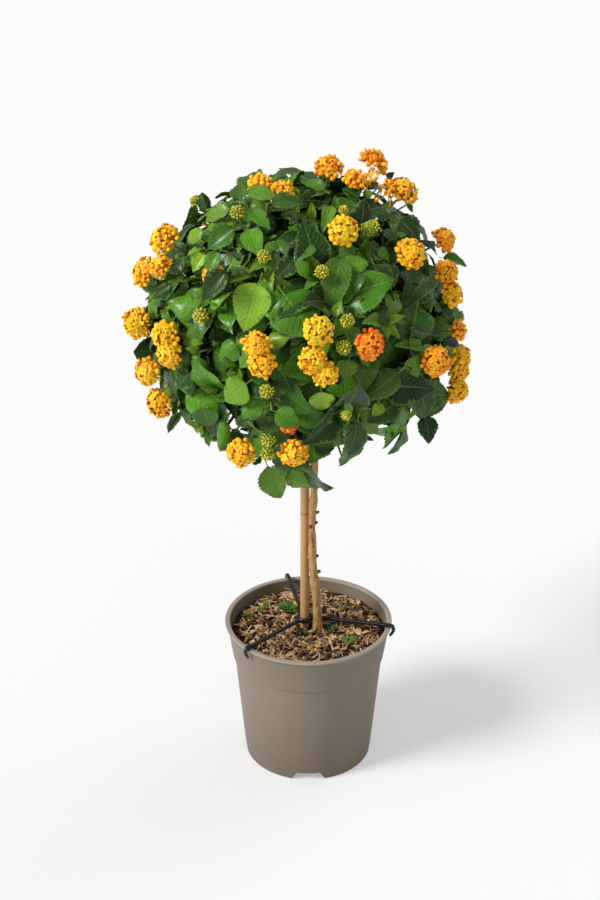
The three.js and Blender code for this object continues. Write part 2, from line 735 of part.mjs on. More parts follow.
// Whether a leaf keeps inside its stem's cone and clear of the flower heads, the trunk and the cane.
const LEAF_CLEAR = { cone: 1, head: 1.5, trunk_y: -3 };
function isClear(points, stemNumber) {
  return Object.values(points).flat().every((point) => {
    const inCone = insideBy(point.clone().sub(HEART), stemNumber) > LEAF_CLEAR.cone;
    const offHeads = headBalls.every(
      (ball) => point.distanceTo(ball.centre) > ball.radius + LEAF_CLEAR.head,
    );
    const fromTrunk = Math.hypot(point.x, point.y - LEAF_CLEAR.trunk_y);
    const offTrunk = point.z > HEART.z || fromTrunk > CROWN.shaft;
    return inCone && offHeads && offTrunk;
  });
}

// The first pose of the leaf that is clear of everything, as it swings aside, folds up towards its
// shoot and grows shorter, or nothing.
function settledLeaf(shoot, node, tilt, k, length, others) {
  const root = stalkRoot(shoot, node, k);
  for (let step = 0; step < SETTLE.steps; step++) {
    const folded = tilt * (1 - SETTLE.fold * step);
    const shrunk = length * (1 - SETTLE.shrink * step);
    for (const swing of SETTLE.swings) {
      const around = shoot.spin + (k * Math.PI) / 2 + radians(swing);
      const points = leafPoints(leafFrame(shoot, node, folded, around, shrunk));
      if (!isClear(points, shoot.stemNumber)) continue;
      const blade = looseLeaf(points, root);
      const isAlone = others.every((other) => blade.intersect(other).isEmpty());
      if (isAlone) return { k, node, root, points, blade };
    }
  }
  return null;
}

// A shoot along the given direction, leaned into the nearest stem's cone.
function shootOf(axis, reach, spin, length) {
  const stemNumber = nearestStem(axis);
  return { axis: leaned(axis, reach, stemNumber), stemNumber, spin: radians(spin), length };
}

const shootRandom = dice(305);
const shoots = heads.map(([head]) => {
  const shoot = shootOf(head.axis, head.reach, shootRandom(0, 180), shootRandom(40, 50));
  head.axis.copy(shoot.axis);
  return { ...shoot, node: SHOOT.flower_node, pairs: 1, head };
});
const headBalls = heads
  .flat()
  .map(({ axis, radius, reach }) => ({ centre: along(HEART, axis, reach), radius }));
for (const [turn, rise, spin, length, bud] of NEAR_SHOOTS) {
  const shoot = shootOf(direction(turn, rise), SHOOT.leaf_node, spin, length);
  shoots.push({ ...shoot, node: SHOOT.leaf_node, pairs: 2, bud });
}
for (let i = 0; i < SKIRT.count; i++) {
  const axis = direction(SKIRT.first + (i * 360) / SKIRT.count, SKIRT.rise);
  const shoot = shootOf(axis, SKIRT.node, shootRandom(0, 180), SKIRT.length);
  shoots.push({ ...shoot, node: SKIRT.node, pairs: 2, bud: 0 });
}
for (const axis of evenDirections(FAR_SHOOTS.spread)) {
  const taken = shoots.some((shoot) => degreesApart(shoot.axis, axis) < FAR_SHOOTS.apart);
  if (taken || axis.y < FAR_SHOOTS.behind || axis.z < FAR_SHOOTS.lowest) continue;
  const shoot = shootOf(axis, SHOOT.leaf_node, shootRandom(0, 180), FAR_SHOOTS.length);
  shoots.push({ ...shoot, node: SHOOT.leaf_node, pairs: 2, bud: shootRandom() > 0.6 ? 6 : 0 });
}

function shootEnd(shoot) {
  if (shoot.head) return shoot.head.reach - HEAD.foot * shoot.head.radius - GAP;
  return shoot.node + (shoot.bud ? 14 : 5);
}

// The shoots of one stem: each has its pairs of leaves, each pair square to the last, and its flower
// stalk or its buds. A leaf makes way for the shoots and leaves that are already there.
function growShoots(own) {
  const twigs = own.map((shoot) => shootSolid({ ...shoot, pairs: 0 }, shootEnd(shoot), []));
  const blades = [];
  return own.flatMap((shoot, i) => {
    const otherTwigs = twigs.filter((_, j) => j !== i);
    const leaves = [];
    for (let pair = 0; pair < shoot.pairs; pair++) {
      for (const k of [pair, pair + 2]) {
        const node = shoot.node - pair * SHOOT.spacing;
        const tilt = radians(POSE.tilt + POSE.tilt_step * pair);
        const length = shoot.length * (1 + POSE.growth * pair);
        const leaf = settledLeaf(shoot, node, tilt, k, length, [...otherTwigs, ...blades]);
        if (!leaf) continue;
        leaves.push(leaf);
        blades.push(leaf.blade);
      }
    }
    const pieces = [shootSolid(shoot, shootEnd(shoot), leaves)];
    if (shoot.bud) {
      const centre = along(HEART, shoot.axis, shootEnd(shoot));
      pieces.push(flowerHead(centre, shoot.axis, shoot.bud, BUD_LAYERS, shootRandom));
    }
    return pieces;
  });
}

// A stem's dense middle of fine twigs, as a rough wedge inside the stem's cone that holds the feet of
// its shoots, with the hole that the trunk's branch stands in.
const CORE_DIRECTIONS = evenDirections(24).filter((axis) => axis.z > -0.8);
function makeCore(stemNumber, own) {
  const axis = stemAxes[stemNumber];
  const corners = CORE_DIRECTIONS.map((even) => even.clone().multiplyScalar(CROWN.core));
  const feet = own.map((shoot) => shoot.axis.clone().multiplyScalar(SHOOT.start + 5));
  const wedge = new ConvexGeometry([
    axis.clone().multiplyScalar(CROWN.shaft),
    ...corners.filter((corner) => insideBy(corner, stemNumber) > 1.5),
    ...feet,
  ]);
  const socket = [0, BRANCH.end + GAP].map((distance) => along(HEART, axis, distance));
  const solid = toSolid(wedge.translate(HEART.x, HEART.y, HEART.z));
  return solid.subtract(stem(socket, () => BRANCH.radius + 2 * GAP, BRANCH.sides));
}

const twoDigits = (number) => String(number).padStart(2, "0");
stemAxes.forEach((_, stemNumber) => {
  const own = shoots.filter((shoot) => shoot.stemNumber === stemNumber);
  const grown = joined([makeCore(stemNumber, own), ...growShoots(own)]);
  addNode("leafy_stem_" + twoDigits(stemNumber + 1), grown, "leaf");
});
addNode("trunk", makeTrunk(stemAxes), "bark");

heads.forEach((group, i) => {
  const domes = group.map(({ axis, radius, reach }) =>
    flowerHead(along(HEART, axis, reach), axis, radius, HEAD_LAYERS, headRandom),
  );
  addNode("bloom_" + twoDigits(i + 1), joined(domes), "bloom");
});

// ---------------------------------------------------------------- weeds in the mulch
const WEED_LEAF = { half_width: 0.42, stalk: 0.35, fold: 0.2, arch: 0.2, sag: 0, thick: 1.1 };

function makeWeed({ x, y, leaves, length, lean }) {
  const top = new THREE.Vector3(x, y, MULCH.top + 4.5);
  const pieces = [stem([new THREE.Vector3(x, y, SOIL_TOP - WEED_ROOT), top], () => WEED_STEM, 5)];
  for (let i = 0; i < leaves; i++) {
    const around = (i * 2 * Math.PI) / leaves + 0.4;
    const tilt = radians(lean - 14 * (i % 2));
    const level = new THREE.Vector3(Math.cos(around), Math.sin(around), 0);
    const run = level.multiplyScalar(Math.sin(tilt)).addScaledVector(UP, Math.cos(tilt));
    const face = UP.clone().addScaledVector(run, -run.z).normalize();
    const side = new THREE.Vector3().crossVectors(run, face);
    const base = along(top, UP, -1.2);
    const corner = (across, lift) => along(base, side, across).addScaledVector(face, lift);
    const root = [corner(-0.5, 0.5), corner(0.5, 0.5), corner(0.5, -0.5), corner(-0.5, -0.5)];
    const points = leafPoints({ base, run, face, side, length }, WEED_EDGE, WEED_LEAF);
    pieces.push(looseLeaf(points, root));
  }
  return joined(pieces);
}
for (const weed of WEEDS) addNode(weed.name, makeWeed(weed), "weed");

export default lantana;
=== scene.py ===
# %% [markdown]
# # A lantana standard in its nursery pot
#
# A lantana standard is a shrub trained on one bare trunk: a round crown of toothed, glossy leaves and
# golden flower heads, a cane that keeps the trunk straight, and a round pot topped with bark mulch.
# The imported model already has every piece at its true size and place. This lesson makes the fine
# surface of each one around it: turned and tubed meshes for what is moulded or grown in one length,
# and Geometry Nodes for what a plant repeats hundreds of times.

# %% Load the frame
import json
from math import acos, atan2, copysign, cos, degrees, exp, hypot, pi, radians, sin, sqrt, tan

import bmesh
import bpy
import numpy as np
from mathutils import Matrix, Vector
from mathutils.bvhtree import BVHTree
from numpy.linalg import norm

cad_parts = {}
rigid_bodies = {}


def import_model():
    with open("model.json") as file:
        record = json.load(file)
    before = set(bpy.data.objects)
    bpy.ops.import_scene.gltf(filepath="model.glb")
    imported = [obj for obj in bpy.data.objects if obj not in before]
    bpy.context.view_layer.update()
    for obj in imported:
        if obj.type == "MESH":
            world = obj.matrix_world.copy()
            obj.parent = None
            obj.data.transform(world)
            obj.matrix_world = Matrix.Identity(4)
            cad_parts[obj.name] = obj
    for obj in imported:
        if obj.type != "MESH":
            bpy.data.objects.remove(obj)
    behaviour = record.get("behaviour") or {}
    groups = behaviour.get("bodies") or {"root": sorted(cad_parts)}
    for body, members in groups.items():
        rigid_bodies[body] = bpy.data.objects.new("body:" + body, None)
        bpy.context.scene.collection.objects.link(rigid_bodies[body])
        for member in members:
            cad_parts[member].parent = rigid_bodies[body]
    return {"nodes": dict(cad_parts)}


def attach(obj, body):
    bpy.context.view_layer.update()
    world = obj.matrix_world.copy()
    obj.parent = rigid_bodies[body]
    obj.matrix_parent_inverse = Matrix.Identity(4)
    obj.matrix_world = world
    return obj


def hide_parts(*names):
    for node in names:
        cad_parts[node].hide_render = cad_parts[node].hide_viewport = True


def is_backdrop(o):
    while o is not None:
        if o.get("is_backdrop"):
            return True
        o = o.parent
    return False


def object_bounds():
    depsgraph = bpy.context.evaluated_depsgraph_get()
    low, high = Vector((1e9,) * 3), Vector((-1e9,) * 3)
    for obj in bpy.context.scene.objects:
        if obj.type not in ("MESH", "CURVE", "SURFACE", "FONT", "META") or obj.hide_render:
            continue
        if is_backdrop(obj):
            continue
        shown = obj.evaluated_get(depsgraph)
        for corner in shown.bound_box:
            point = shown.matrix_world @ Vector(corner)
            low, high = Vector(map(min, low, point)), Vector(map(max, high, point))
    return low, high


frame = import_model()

CAD_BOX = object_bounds()
MM = 0.001
UP = np.array([0.0, 0.0, 1.0])


class Named(dict):
    """Values that are read by their names, as in POT.rim."""

    __getattr__ = dict.__getitem__

    def __or__(self, others):
        return Named({**self, **others})


def link(name, data):
    made = bpy.data.objects.new(name, data)
    bpy.context.scene.collection.objects.link(made)
    return made


print("the frame has", len(frame["nodes"]), "nodes")

# %% [markdown]
# ## Camera, floor and light
#
# The plant stands before plain white, seen a little from above. The camera is about 1.8 m away and
# looks down by 25 degrees, so the pot's rim and base are the ellipses that an eye sees. The light is
# one broad soft sun from the upper left, two weak ones from the side and from behind, and a warm white
# sky, so that leaves get a sheen and the pot has one lighter side.

# %% Camera
CAMERA = Named(place=(-9.7, -1500.0, 1097.0), down=25.3, lens=60.72, sensor=36.0)

camera = link("camera", bpy.data.cameras.new("camera"))
camera.location = Vector(CAMERA.place) * MM
camera.rotation_euler = (radians(90 - CAMERA.down), 0, 0)
camera.data.sensor_fit = "VERTICAL"
camera.data.sensor_height = CAMERA.sensor
camera.data.sensor_width = CAMERA.sensor
camera.data.lens = CAMERA.lens
bpy.context.scene.camera = camera

print("camera at", tuple(round(x, 3) for x in camera.location))

# %% Lamps
SUNS = [
    # name, place that it shines from, strength, apparent size in degrees, colour
    ("key", (-2.8, -1.25, 2.3), 3.15, 20, (1, 1, 1)),
    ("side", (-3.0, -0.4, 0.9), 0.3, 30, (0.85, 0.93, 1)),
    ("back", (1.4, 1.2, 2.2), 0.5, 40, (1, 1, 1)),
]
SKY = Named(color=(1.0, 0.975, 0.93, 1), strength=0.43)

for name, place, strength, degrees_wide, light_color in SUNS:
    light = bpy.data.lights.new(name, "SUN")
    light.energy = strength
    light.color = light_color
    light.angle = radians(degrees_wide)
    lamp = link(name, light)
    lamp.location = place
    lamp.rotation_euler = (-lamp.location).to_track_quat("-Z", "Y").to_euler()

world = bpy.data.worlds.new("studio")
world.use_nodes = True
background = world.node_tree.nodes["Background"]
background.inputs["Color"].default_value = SKY.color
background.inputs["Strength"].default_value = SKY.strength
bpy.context.scene.world = world
bpy.context.scene.view_settings.view_transform = "Standard"
print("suns:", [name for name, *_ in SUNS])

# %% [markdown]
# ## Materials written as arithmetic
#
# Every finish here is a few patterns added, multiplied and mixed. Drawing that as boxes and wires is
# slow to read, so a socket is wrapped in a small class whose + - * add the Math nodes, and one method
# adds any other node. A colour goes through Mix, because a Math node would turn it grey.

# %% Sockets that do arithmetic
class Value:
    """A node's output. Python's arithmetic on it adds Math nodes, or Vector Math nodes on a vector."""

    def __init__(self, finish, socket):
        self.finish = finish
        self.socket = socket

    def combine(self, operation, first, second):
        found = [value.socket.type for value in (first, second) if isinstance(value, Value)]
        kind = "ShaderNodeVectorMath" if "VECTOR" in found else "ShaderNodeMath"
        return self.finish.add(kind, {"operation": operation}, {0: first, 1: second})

    def __add__(self, other):
        return self.combine("ADD", self, other)

    __radd__ = __add__

    def __sub__(self, other):
        return self.combine("SUBTRACT", self, other)

    def __rsub__(self, other):
        return self.combine("SUBTRACT", other, self)

    def __mul__(self, other):
        return self.combine("MULTIPLY", self, other)

    __rmul__ = __mul__


class Finish:
    """A material, and methods that add nodes in front of its shader. Sizes and depths are in mm."""

    def __init__(self, name, **constants):
        self.material = bpy.data.materials.new(name)
        self.material.use_nodes = True
        self.tree = self.material.node_tree
        self.shader = self.tree.nodes["Principled BSDF"]
        self.set(**constants)

    def connect(self, socket, value):
        if isinstance(value, Value):
            self.tree.links.new(value.socket, socket)
        elif socket.type == "VECTOR" and isinstance(value, (int, float)):
            socket.default_value = (value, value, value)
        elif socket.type == "RGBA":
            socket.default_value = color(*value)
        else:
            socket.default_value = value

    def add(self, kind, settings=None, values=None, output=0):
        node = self.tree.nodes.new(kind)
        for name, setting in (settings or {}).items():
            if name == "stops":
                self.set_stops(node.color_ramp, setting)
            else:
                setattr(node, name, setting)
        for key, value in (values or {}).items():
            self.connect(node.inputs[key], value)
        return Value(self, node.outputs[output])

    def set_stops(self, ramp, stops):
        for place, *_ in stops[2:]:
            ramp.elements.new(place)
        for element, (place, *parts) in zip(ramp.elements, stops):
            element.position = place
            element.color = color(*parts)

    def set(self, **sockets):
        for name, value in sockets.items():
            self.connect(self.shader.inputs[name.replace("_", " ")], value)

    def place(self):
        return self.add("ShaderNodeTexCoord", output="Object")

    def height(self):
        return self.add("ShaderNodeSeparateXYZ", values={0: self.place()}, output="Z")

    def stretched(self, x, y, z):
        """Object coordinates drawn out: a larger number makes a pattern finer that way."""
        return self.add("ShaderNodeMapping", values={"Vector": self.place(), "Scale": (x, y, z)})

    def attribute(self, name):
        return self.add("ShaderNodeAttribute", {"attribute_name": name}, output="Fac")

    def noise(self, size, detail=3.0, where=None):
        values = {"Vector": where or self.place(), "Scale": 1 / (size * MM)}
        return self.add("ShaderNodeTexNoise", None, values | {"Detail": detail, "Roughness": 0.55})

    def cells(self, size, where=None, feature="F1"):
        values = {"Vector": where or self.place(), "Scale": 1 / (size * MM)}
        return self.add("ShaderNodeTexVoronoi", {"feature": feature}, values, "Distance")

    def between(self, value, low, high):
        """0 below low, 1 above high, and a smooth step from one to the other."""
        values = {"Value": value, "From Min": low, "From Max": high}
        return self.add("ShaderNodeMapRange", {"interpolation_type": "SMOOTHSTEP"}, values)

    def mix(self, first, second, share):
        """A colour between two others. Sockets 6, 7 and 2 are the Mix node's colours."""
        return self.add("ShaderNodeMix", {"data_type": "RGBA"}, {0: share, 6: first, 7: second}, 2)

    def layers(self, base, *layers):
        """A base colour under layers, each given as a colour and how much of it covers the rest."""
        for layer, share in layers:
            base = self.mix(base, layer, share)
        return base

    def ramp(self, value, *stops):
        return self.add("ShaderNodeValToRGB", {"stops": stops}, {0: value})

    def one_math(self, operation, value, other=0.0):
        return self.add("ShaderNodeMath", {"operation": operation}, {0: value, 1: other})

    def bump(self, height, depth, strength=1.0):
        values = {"Height": height, "Distance": depth * MM, "Strength": strength}
        self.set(Normal=self.add("ShaderNodeBump", None, values))


def color(*parts):
    """Red, green and blue as seen on a screen, 0 to 255, as the linear colour that a shader takes."""
    return tuple((part / 255) ** 2.2 for part in parts) + (1.0,)


print("materials are made with Finish and Value")

# %% [markdown]
# ## Floor
#
# The plant stands on a plain pale floor, so that only its own colours show. One large quad with a
# faint mottle is enough. It glows a little, as a light table does, which keeps its shadows pale. It
# is marked as stage, since it is no part of the plant.

# %% Floor
FLOOR_HALF = 14.0
FLOOR_GLOW = {"Emission_Color": (251.49, 253.25, 255), "Emission_Strength": 0.36}

mesh = bpy.data.meshes.new("floor")
corners = [(x * FLOOR_HALF, y * FLOOR_HALF, 0) for x, y in ((-1, -1), (1, -1), (1, 1), (-1, 1))]
mesh.from_pydata(corners, [], [(0, 1, 2, 3)])
finish = Finish("pale_floor", Roughness=0.9, **FLOOR_GLOW)
mottle = finish.noise(900, detail=1.0)
finish.set(Base_Color=finish.mix((186.08, 186.08, 186.08), (191.08, 191.08, 191.08), mottle))
mesh.materials.append(finish.material)
link("floor", mesh)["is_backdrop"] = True
print("floor", 2 * FLOOR_HALF, "m wide")

# %% [markdown]
# ## Tools for meshes
#
# Most pieces are one of two shapes. A pot is turned on its axis from an outline, and a trunk, an arm
# or a twig is a round section that runs along a line. Both are grids of points wrapped round, written
# out as numbers and faces: that keeps every size exact, and leaves no modifier to apply. Shape
# gathers many small parts into one mesh, with values at its points for the material.

# %% Shape: many parts, one mesh
class Shape:
    """Points in millimetres and faces from many parts, with named values at the points."""

    def __init__(self, *value_names):
        self.points = []
        self.faces = []
        self.values = {name: [] for name in value_names}

    def add(self, points, faces, **values):
        start = len(self.points)
        self.points.extend(points)
        self.faces.extend([tuple(start + corner for corner in face) for face in faces])
        for name, store in self.values.items():
            given = values.get(name, 0.0)
            store.extend(given if hasattr(given, "__len__") else [given] * len(points))

    def mesh(self, name):
        mesh = bpy.data.meshes.new(name)
        mesh.from_pydata((np.array(self.points) * MM).tolist(), [], self.faces)
        for value_name, store in self.values.items():
            mesh.attributes.new(value_name, "FLOAT", "POINT").data.foreach_set("value", store)
        mesh.validate()
        return mesh

    def piece(self, name):
        piece = link(name, self.mesh(name))
        piece.data.shade_smooth()
        return piece


def plain_mesh(name, points, faces, **values):
    shape = Shape(*values)
    shape.add(points, faces, **values)
    return shape.mesh(name)


def face_outwards(mesh):
    sculpt = bmesh.new()
    sculpt.from_mesh(mesh)
    bmesh.ops.recalc_face_normals(sculpt, faces=sculpt.faces)
    sculpt.to_mesh(mesh)
    sculpt.free()


def as_kind(mesh):
    """A kind counts 1 for each unit of its numbers, because every copy brings its own size."""
    mesh.transform(Matrix.Scale(1 / MM, 4))
    return mesh


def shade_smooth(mesh, sharp_above=40):
    """Smooth shading, with a sharp edge where two faces meet by more than the given angle."""
    mesh.shade_smooth()
    mesh.set_sharp_from_angle(angle=radians(sharp_above))


def to_plain_mesh(piece):
    """Keeps what a piece's modifiers make as its own mesh, and removes them."""
    depsgraph = bpy.context.evaluated_depsgraph_get()
    made = bpy.data.meshes.new_from_object(piece.evaluated_get(depsgraph), depsgraph=depsgraph)
    piece.modifiers.clear()
    piece.data = made


PIECES = []


def paint(piece, finish):
    piece.data.materials.clear()
    piece.data.materials.append(finish.material)


def finish_piece(piece, finish, slot, *nodes):
    """Gives a piece its material, the body it rides on and the nodes it stands for. The slot is not used.
    """
    if finish:
        paint(piece, finish)
    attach(piece, "root")
    if nodes:
        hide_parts(*nodes)
    PIECES.append(piece)
    print(f"{piece.name}: {len(piece.data.polygons)} faces, stands for {len(nodes)} nodes")


print("tools ready")

# %% Turned shapes
def rounded(corners, steps=5):
    """An outline through corners given as (radius, height, rounding), each one rounded off."""
    outline = []
    for i, (radius, height, rounding) in enumerate(corners):
        here = np.array([radius, height], float)
        if rounding == 0:
            outline.append(here)
            continue
        ends = []
        for neighbour in (corners[i - 1], corners[i + 1]):
            away = np.array(neighbour[:2], float) - here
            length = norm(away)
            ends.append(here + away / length * min(rounding, 0.48 * length))
        for step in range(steps + 1):
            share = step / steps
            first = (1 - share) ** 2 * ends[0] + 2 * share * (1 - share) * here
            outline.append(first + share**2 * ends[1])
    return outline


def full_turn(steps):
    return np.arange(steps) * 2 * pi / steps


def wall(low, high, sides):
    """The faces between two rings of points, each given by the number of its first point."""
    corners = [(j, (j + 1) % sides) for j in range(sides)]
    return [(low + j, low + after, high + after, high + j) for j, after in corners]


def turned(outline, sides):
    """Points and faces of a closed turned body. The outline starts and ends on the axis."""
    inner = outline[1:-1]
    turns = full_turn(sides)
    points = [np.array([0.0, 0.0, outline[0][1]])]
    for radius, height in inner:
        ring = np.stack([radius * np.cos(turns), radius * np.sin(turns), np.full(sides, height)], 1)
        points.extend(ring)
    points.append(np.array([0.0, 0.0, outline[-1][1]]))
    last = len(points) - 1
    faces = []
    for j in range(sides):
        after = (j + 1) % sides
        faces.append((0, 1 + after, 1 + j))
        for ring in range(len(inner) - 1):
            low, high = 1 + ring * sides, 1 + (ring + 1) * sides
            faces.append((low + j, low + after, high + after, high + j))
        faces.append((last, last - sides + j, last - sides + after))
    return points, faces


print("an outline of 3 corners gives", len(rounded([(0, 0, 0), (5, 0, 1), (0, 9, 0)])), "points")

# %% Tubes along a line
def smooth_line(points, count):
    """A smooth line of count points through the given ones, evenly spaced along it."""
    points = np.array(points, float)
    padded = np.vstack([2 * points[0] - points[1], points, 2 * points[-1] - points[-2]])
    line = []
    for a, b, c, d in zip(padded, padded[1:], padded[2:], padded[3:]):
        for t in np.linspace(0, 1, 12, endpoint=False):
            bend = (2 * a - 5 * b + 4 * c - d) * t**2 + (3 * b - a - 3 * c + d) * t**3
            line.append(0.5 * (2 * b + (c - a) * t + bend))
    line.append(points[-1])
    line = np.array(line)
    run = np.concatenate([[0], np.cumsum(norm(np.diff(line, axis=0), axis=1))])
    wanted = np.linspace(0, run[-1], count)
    return np.stack([np.interp(wanted, run, line[:, axis]) for axis in range(3)], 1)


def unit(vector):
    return vector / norm(vector)


def outwards(turn):
    """The level unit vector at a turn in degrees from the X axis."""
    return np.array([cos(radians(turn)), sin(radians(turn)), 0])


def square_axes(axis):
    """Two unit vectors square to an axis, the first one level."""
    level = np.array([1.0, 0, 0]) if abs(axis[2]) > 0.99 else UP
    first = unit(np.cross(level, axis))
    return first, np.cross(axis, first)


def tube(line, radii, sides, round_end=True):
    line = np.array(line, float)
    radii = np.broadcast_to(np.array(radii, float), len(line)) * 1.0
    if round_end:
        tip = unit(line[-1] - line[-2])
        line = np.vstack([line, line[-1] + tip * radii[-1] * 0.6])
        radii = np.append(radii, radii[-1] * 0.55)
    tangents = np.gradient(line, axis=0)
    across = square_axes(unit(tangents[0]))[0]
    points = []
    for place, tangent, radius in zip(line, tangents, radii):
        tangent = unit(tangent)
        across = unit(across - tangent * np.dot(across, tangent))
        third = np.cross(tangent, across)
        ways = [cos(turn) * across + sin(turn) * third for turn in full_turn(sides)]
        points.extend(place + radius * way for way in ways)
    faces = [tuple(reversed(range(sides)))]
    for ring in range(len(line) - 1):
        faces += wall(ring * sides, (ring + 1) * sides, sides)
    faces.append(tuple(range((len(line) - 1) * sides, len(line) * sides)))
    return points, faces


print("a tube of 2 points and 6 sides has", len(tube([(0, 0, 0), (0, 0, 1)], 1, 6)[1]), "faces")

# %% Random draws that never change
DICE_FACTOR = 48271
DICE_SIDES = 2147483647


class Dice:
    """Draws from a seed, the same on every computer."""

    def __init__(self, seed):
        self.state = seed

    def __call__(self, low=0.0, high=1.0):
        self.state = self.state * DICE_FACTOR % DICE_SIDES
        return low + (high - low) * self.state / DICE_SIDES


def jitter(random, most):
    return most * np.array([random(-1, 1), random(-1, 1), random(-1, 1)])


def waves(points, length, seed):
    """Smooth random numbers from -1 to 1 at points in millimetres, on humps of the given length."""
    random = Dice(seed)
    total = np.zeros(len(points))
    for _ in range(5):
        way = unit(jitter(random, 1))
        total += np.sin(points @ way * (2 * pi / length) * random(0.6, 1.5) + random(0, 6))
    return total / 3


print("first draw of seed 7:", round(Dice(7)(), 4))

# %% [markdown]
# ## The pot
#
# The real pot is injection-moulded in one piece: a thin tapered wall, a slightly wider band above a
# ledge, and a thin flat lip that stiffens the rim. Four channels cross its foot so that water leaves.
# A turned outline with small rounded corners gives the mould's soft edges, which catch the light. The
# channels are cut with booleans, because they cross the round foot in flat planes.

# %% Pot: outline
POT = Named(height=174, rim=96, lip=2.6, mouth=90, shoulder=93, band_top=168.4)
POT |= Named(band=87.2, ledge=129, neck=85.4, foot=73.8)
POT_WALL = 1.9
POT_FLOOR = 3
POT_SIDES = 160
CHANNEL = Named(width=39, top=27, height=10, inner=34, roof=2)
ROOF_ROOM = (1, 20)  # the heights between which a channel's roof stays inside the wall
DRAIN = Named(radius=7, from_axis=50, heights=(5, 12, 20))


def body_radius(z):
    return POT.foot + (POT.neck - POT.foot) * z / POT.ledge


lip = POT.height - POT.lip
POT_OUTLINE = rounded([
    (0, 0, 0),
    (POT.foot, 0, 1.6),
    (POT.neck, POT.ledge - 0.2, 0.7),
    (POT.band, POT.ledge + 1.2, 1.0),
    (POT.shoulder, POT.band_top, 2.0),
    (POT.rim - 1.4, lip, 0.7),
    (POT.rim, lip + 0.3, 0.9),
    (POT.rim, POT.height, 0.9),
    (POT.mouth + 0.3, POT.height, 1.1),
    (POT.mouth, POT.band_top, 1.5),
    (POT.band - POT_WALL, POT.ledge + 2.4, 1),
    (POT.neck - POT_WALL, POT.ledge + 0.6, 1),
    (body_radius(POT_FLOOR) - POT_WALL, POT_FLOOR, 1.5),
    (0, POT_FLOOR, 0),
])
print("pot outline of", len(POT_OUTLINE), "points")

# %% Pot: channels and drain holes
QUARTERS = [quarter * pi / 2 for quarter in range(4)]


def channel_mesh(name, grown, turn):
    """One channel as a bar with sloping sides, pointing outwards along turn."""
    half, top = CHANNEL.width / 2 + grown, CHANNEL.top / 2 + grown
    roof = CHANNEL.height + grown
    section = [(-half, -5), (half, -5), (half, 0), (top, roof), (-top, roof), (-half, 0)]
    inner, outer = CHANNEL.inner - grown, POT.rim
    points = [(x, -y, z) for y in (inner, outer) for x, z in section]
    faces = [tuple(range(6)), tuple(reversed(range(6, 12)))]
    faces += [(i, i + 6, (i + 1) % 6 + 6, (i + 1) % 6) for i in range(6)]
    mesh = plain_mesh(name, np.array(points), faces)
    mesh.transform(Matrix.Rotation(turn, 4, "Z"))
    face_outwards(mesh)
    return mesh


def cut(piece, cutter_mesh, operation):
    """Cuts one mesh from a piece, or joins it, and keeps the result as the piece's own mesh."""
    cutter = link("cutter", cutter_mesh)
    modifier = piece.modifiers.new("cut", "BOOLEAN")
    modifier.operation = operation
    modifier.solver = "EXACT"
    modifier.object = cutter
    to_plain_mesh(piece)
    bpy.data.objects.remove(cutter)


pot = link("nursery_pot", plain_mesh("nursery_pot", *turned(POT_OUTLINE, POT_SIDES)))
low, high = ROOF_ROOM
room = [(0, low), (body_radius(low) - 1, low), (body_radius(high) - 1, high), (0, high)]
inside = plain_mesh("inside", *turned(room, 96))
for turn in QUARTERS:
    roof = link("roof", channel_mesh("cover", CHANNEL.roof, turn))
    cut(roof, inside, "INTERSECT")
    cut(pot, roof.data, "UNION")
    bpy.data.objects.remove(roof)
for turn in QUARTERS:
    cut(pot, channel_mesh("channel", 0, turn), "DIFFERENCE")
    x, y = sin(turn) * DRAIN.from_axis, -cos(turn) * DRAIN.from_axis
    hole = tube([(x, y, z) for z in DRAIN.heights], DRAIN.radius, 28, False)
    cut(pot, plain_mesh("hole", *hole), "DIFFERENCE")
shade_smooth(pot.data, sharp_above=35)
print("pot with", len(pot.data.polygons), "faces and", len(QUARTERS), "channels")

# %% [markdown]
# ### Pot: finish
#
# Recycled polypropylene in warm grey is dull and a little cloudy. Its lower wall is painted darker,
# as painted shade, and the top of its rim lighter, as a painted highlight. A mould leaves faint rings
# round the wall, and handling leaves small scuffs. All of this is low contrast, in Object coordinates,
# which never slide.

# %% Pot: plastic
taupe = Finish("taupe_plastic")
cloud = taupe.noise(60, detail=2.0)
grain = taupe.noise(0.8, detail=2.0)
scuffs = taupe.between(taupe.noise(9, detail=5.0, where=taupe.stretched(1, 1, 0.25)), 0.62, 0.74)
base = taupe.mix((115, 104, 89), (125, 114, 99), cloud)
height = taupe.height()
# painted shade: the lower wall grows darker towards the foot
base = taupe.mix((102, 90, 75), base, taupe.between(height, -0.02, 0.11))
# painted highlight: the top 3 mm of the rim is lighter; the scuffs mixed in with it are real wear
rim = taupe.between(height, (POT.height - 3) * MM, (POT.height - 1.5) * MM)
scuffs_and_rim_highlight = taupe.mix(base, (166, 157, 143), scuffs * 0.07 + rim * 0.65)
taupe.set(Base_Color=scuffs_and_rim_highlight, Roughness=0.52 + grain * 0.1 + scuffs * 0.1)
rings = taupe.noise(2.5, detail=1.0, where=taupe.stretched(0.01, 0.01, 1))
taupe.bump(rings * 0.5 + grain * 0.5, 0.12, 0.5)

finish_piece(pot, taupe, "pot_plastic", "pot")

# %% [markdown]
# ## Instances on points
#
# A crown holds nearly three thousand leaves and two thousand florets, of a few kinds each. Geometry
# Nodes suit that: a mesh holds one point for each copy, with its turn, its size and the kind to pick
# as values on the point, and one tree sets a copy there. Its named inputs are the kinds, a size that
# scales them all, a share of random change in size with a fixed seed, and the material. It ends in
# Realize Instances and Set Material, and the result is kept as a plain mesh.

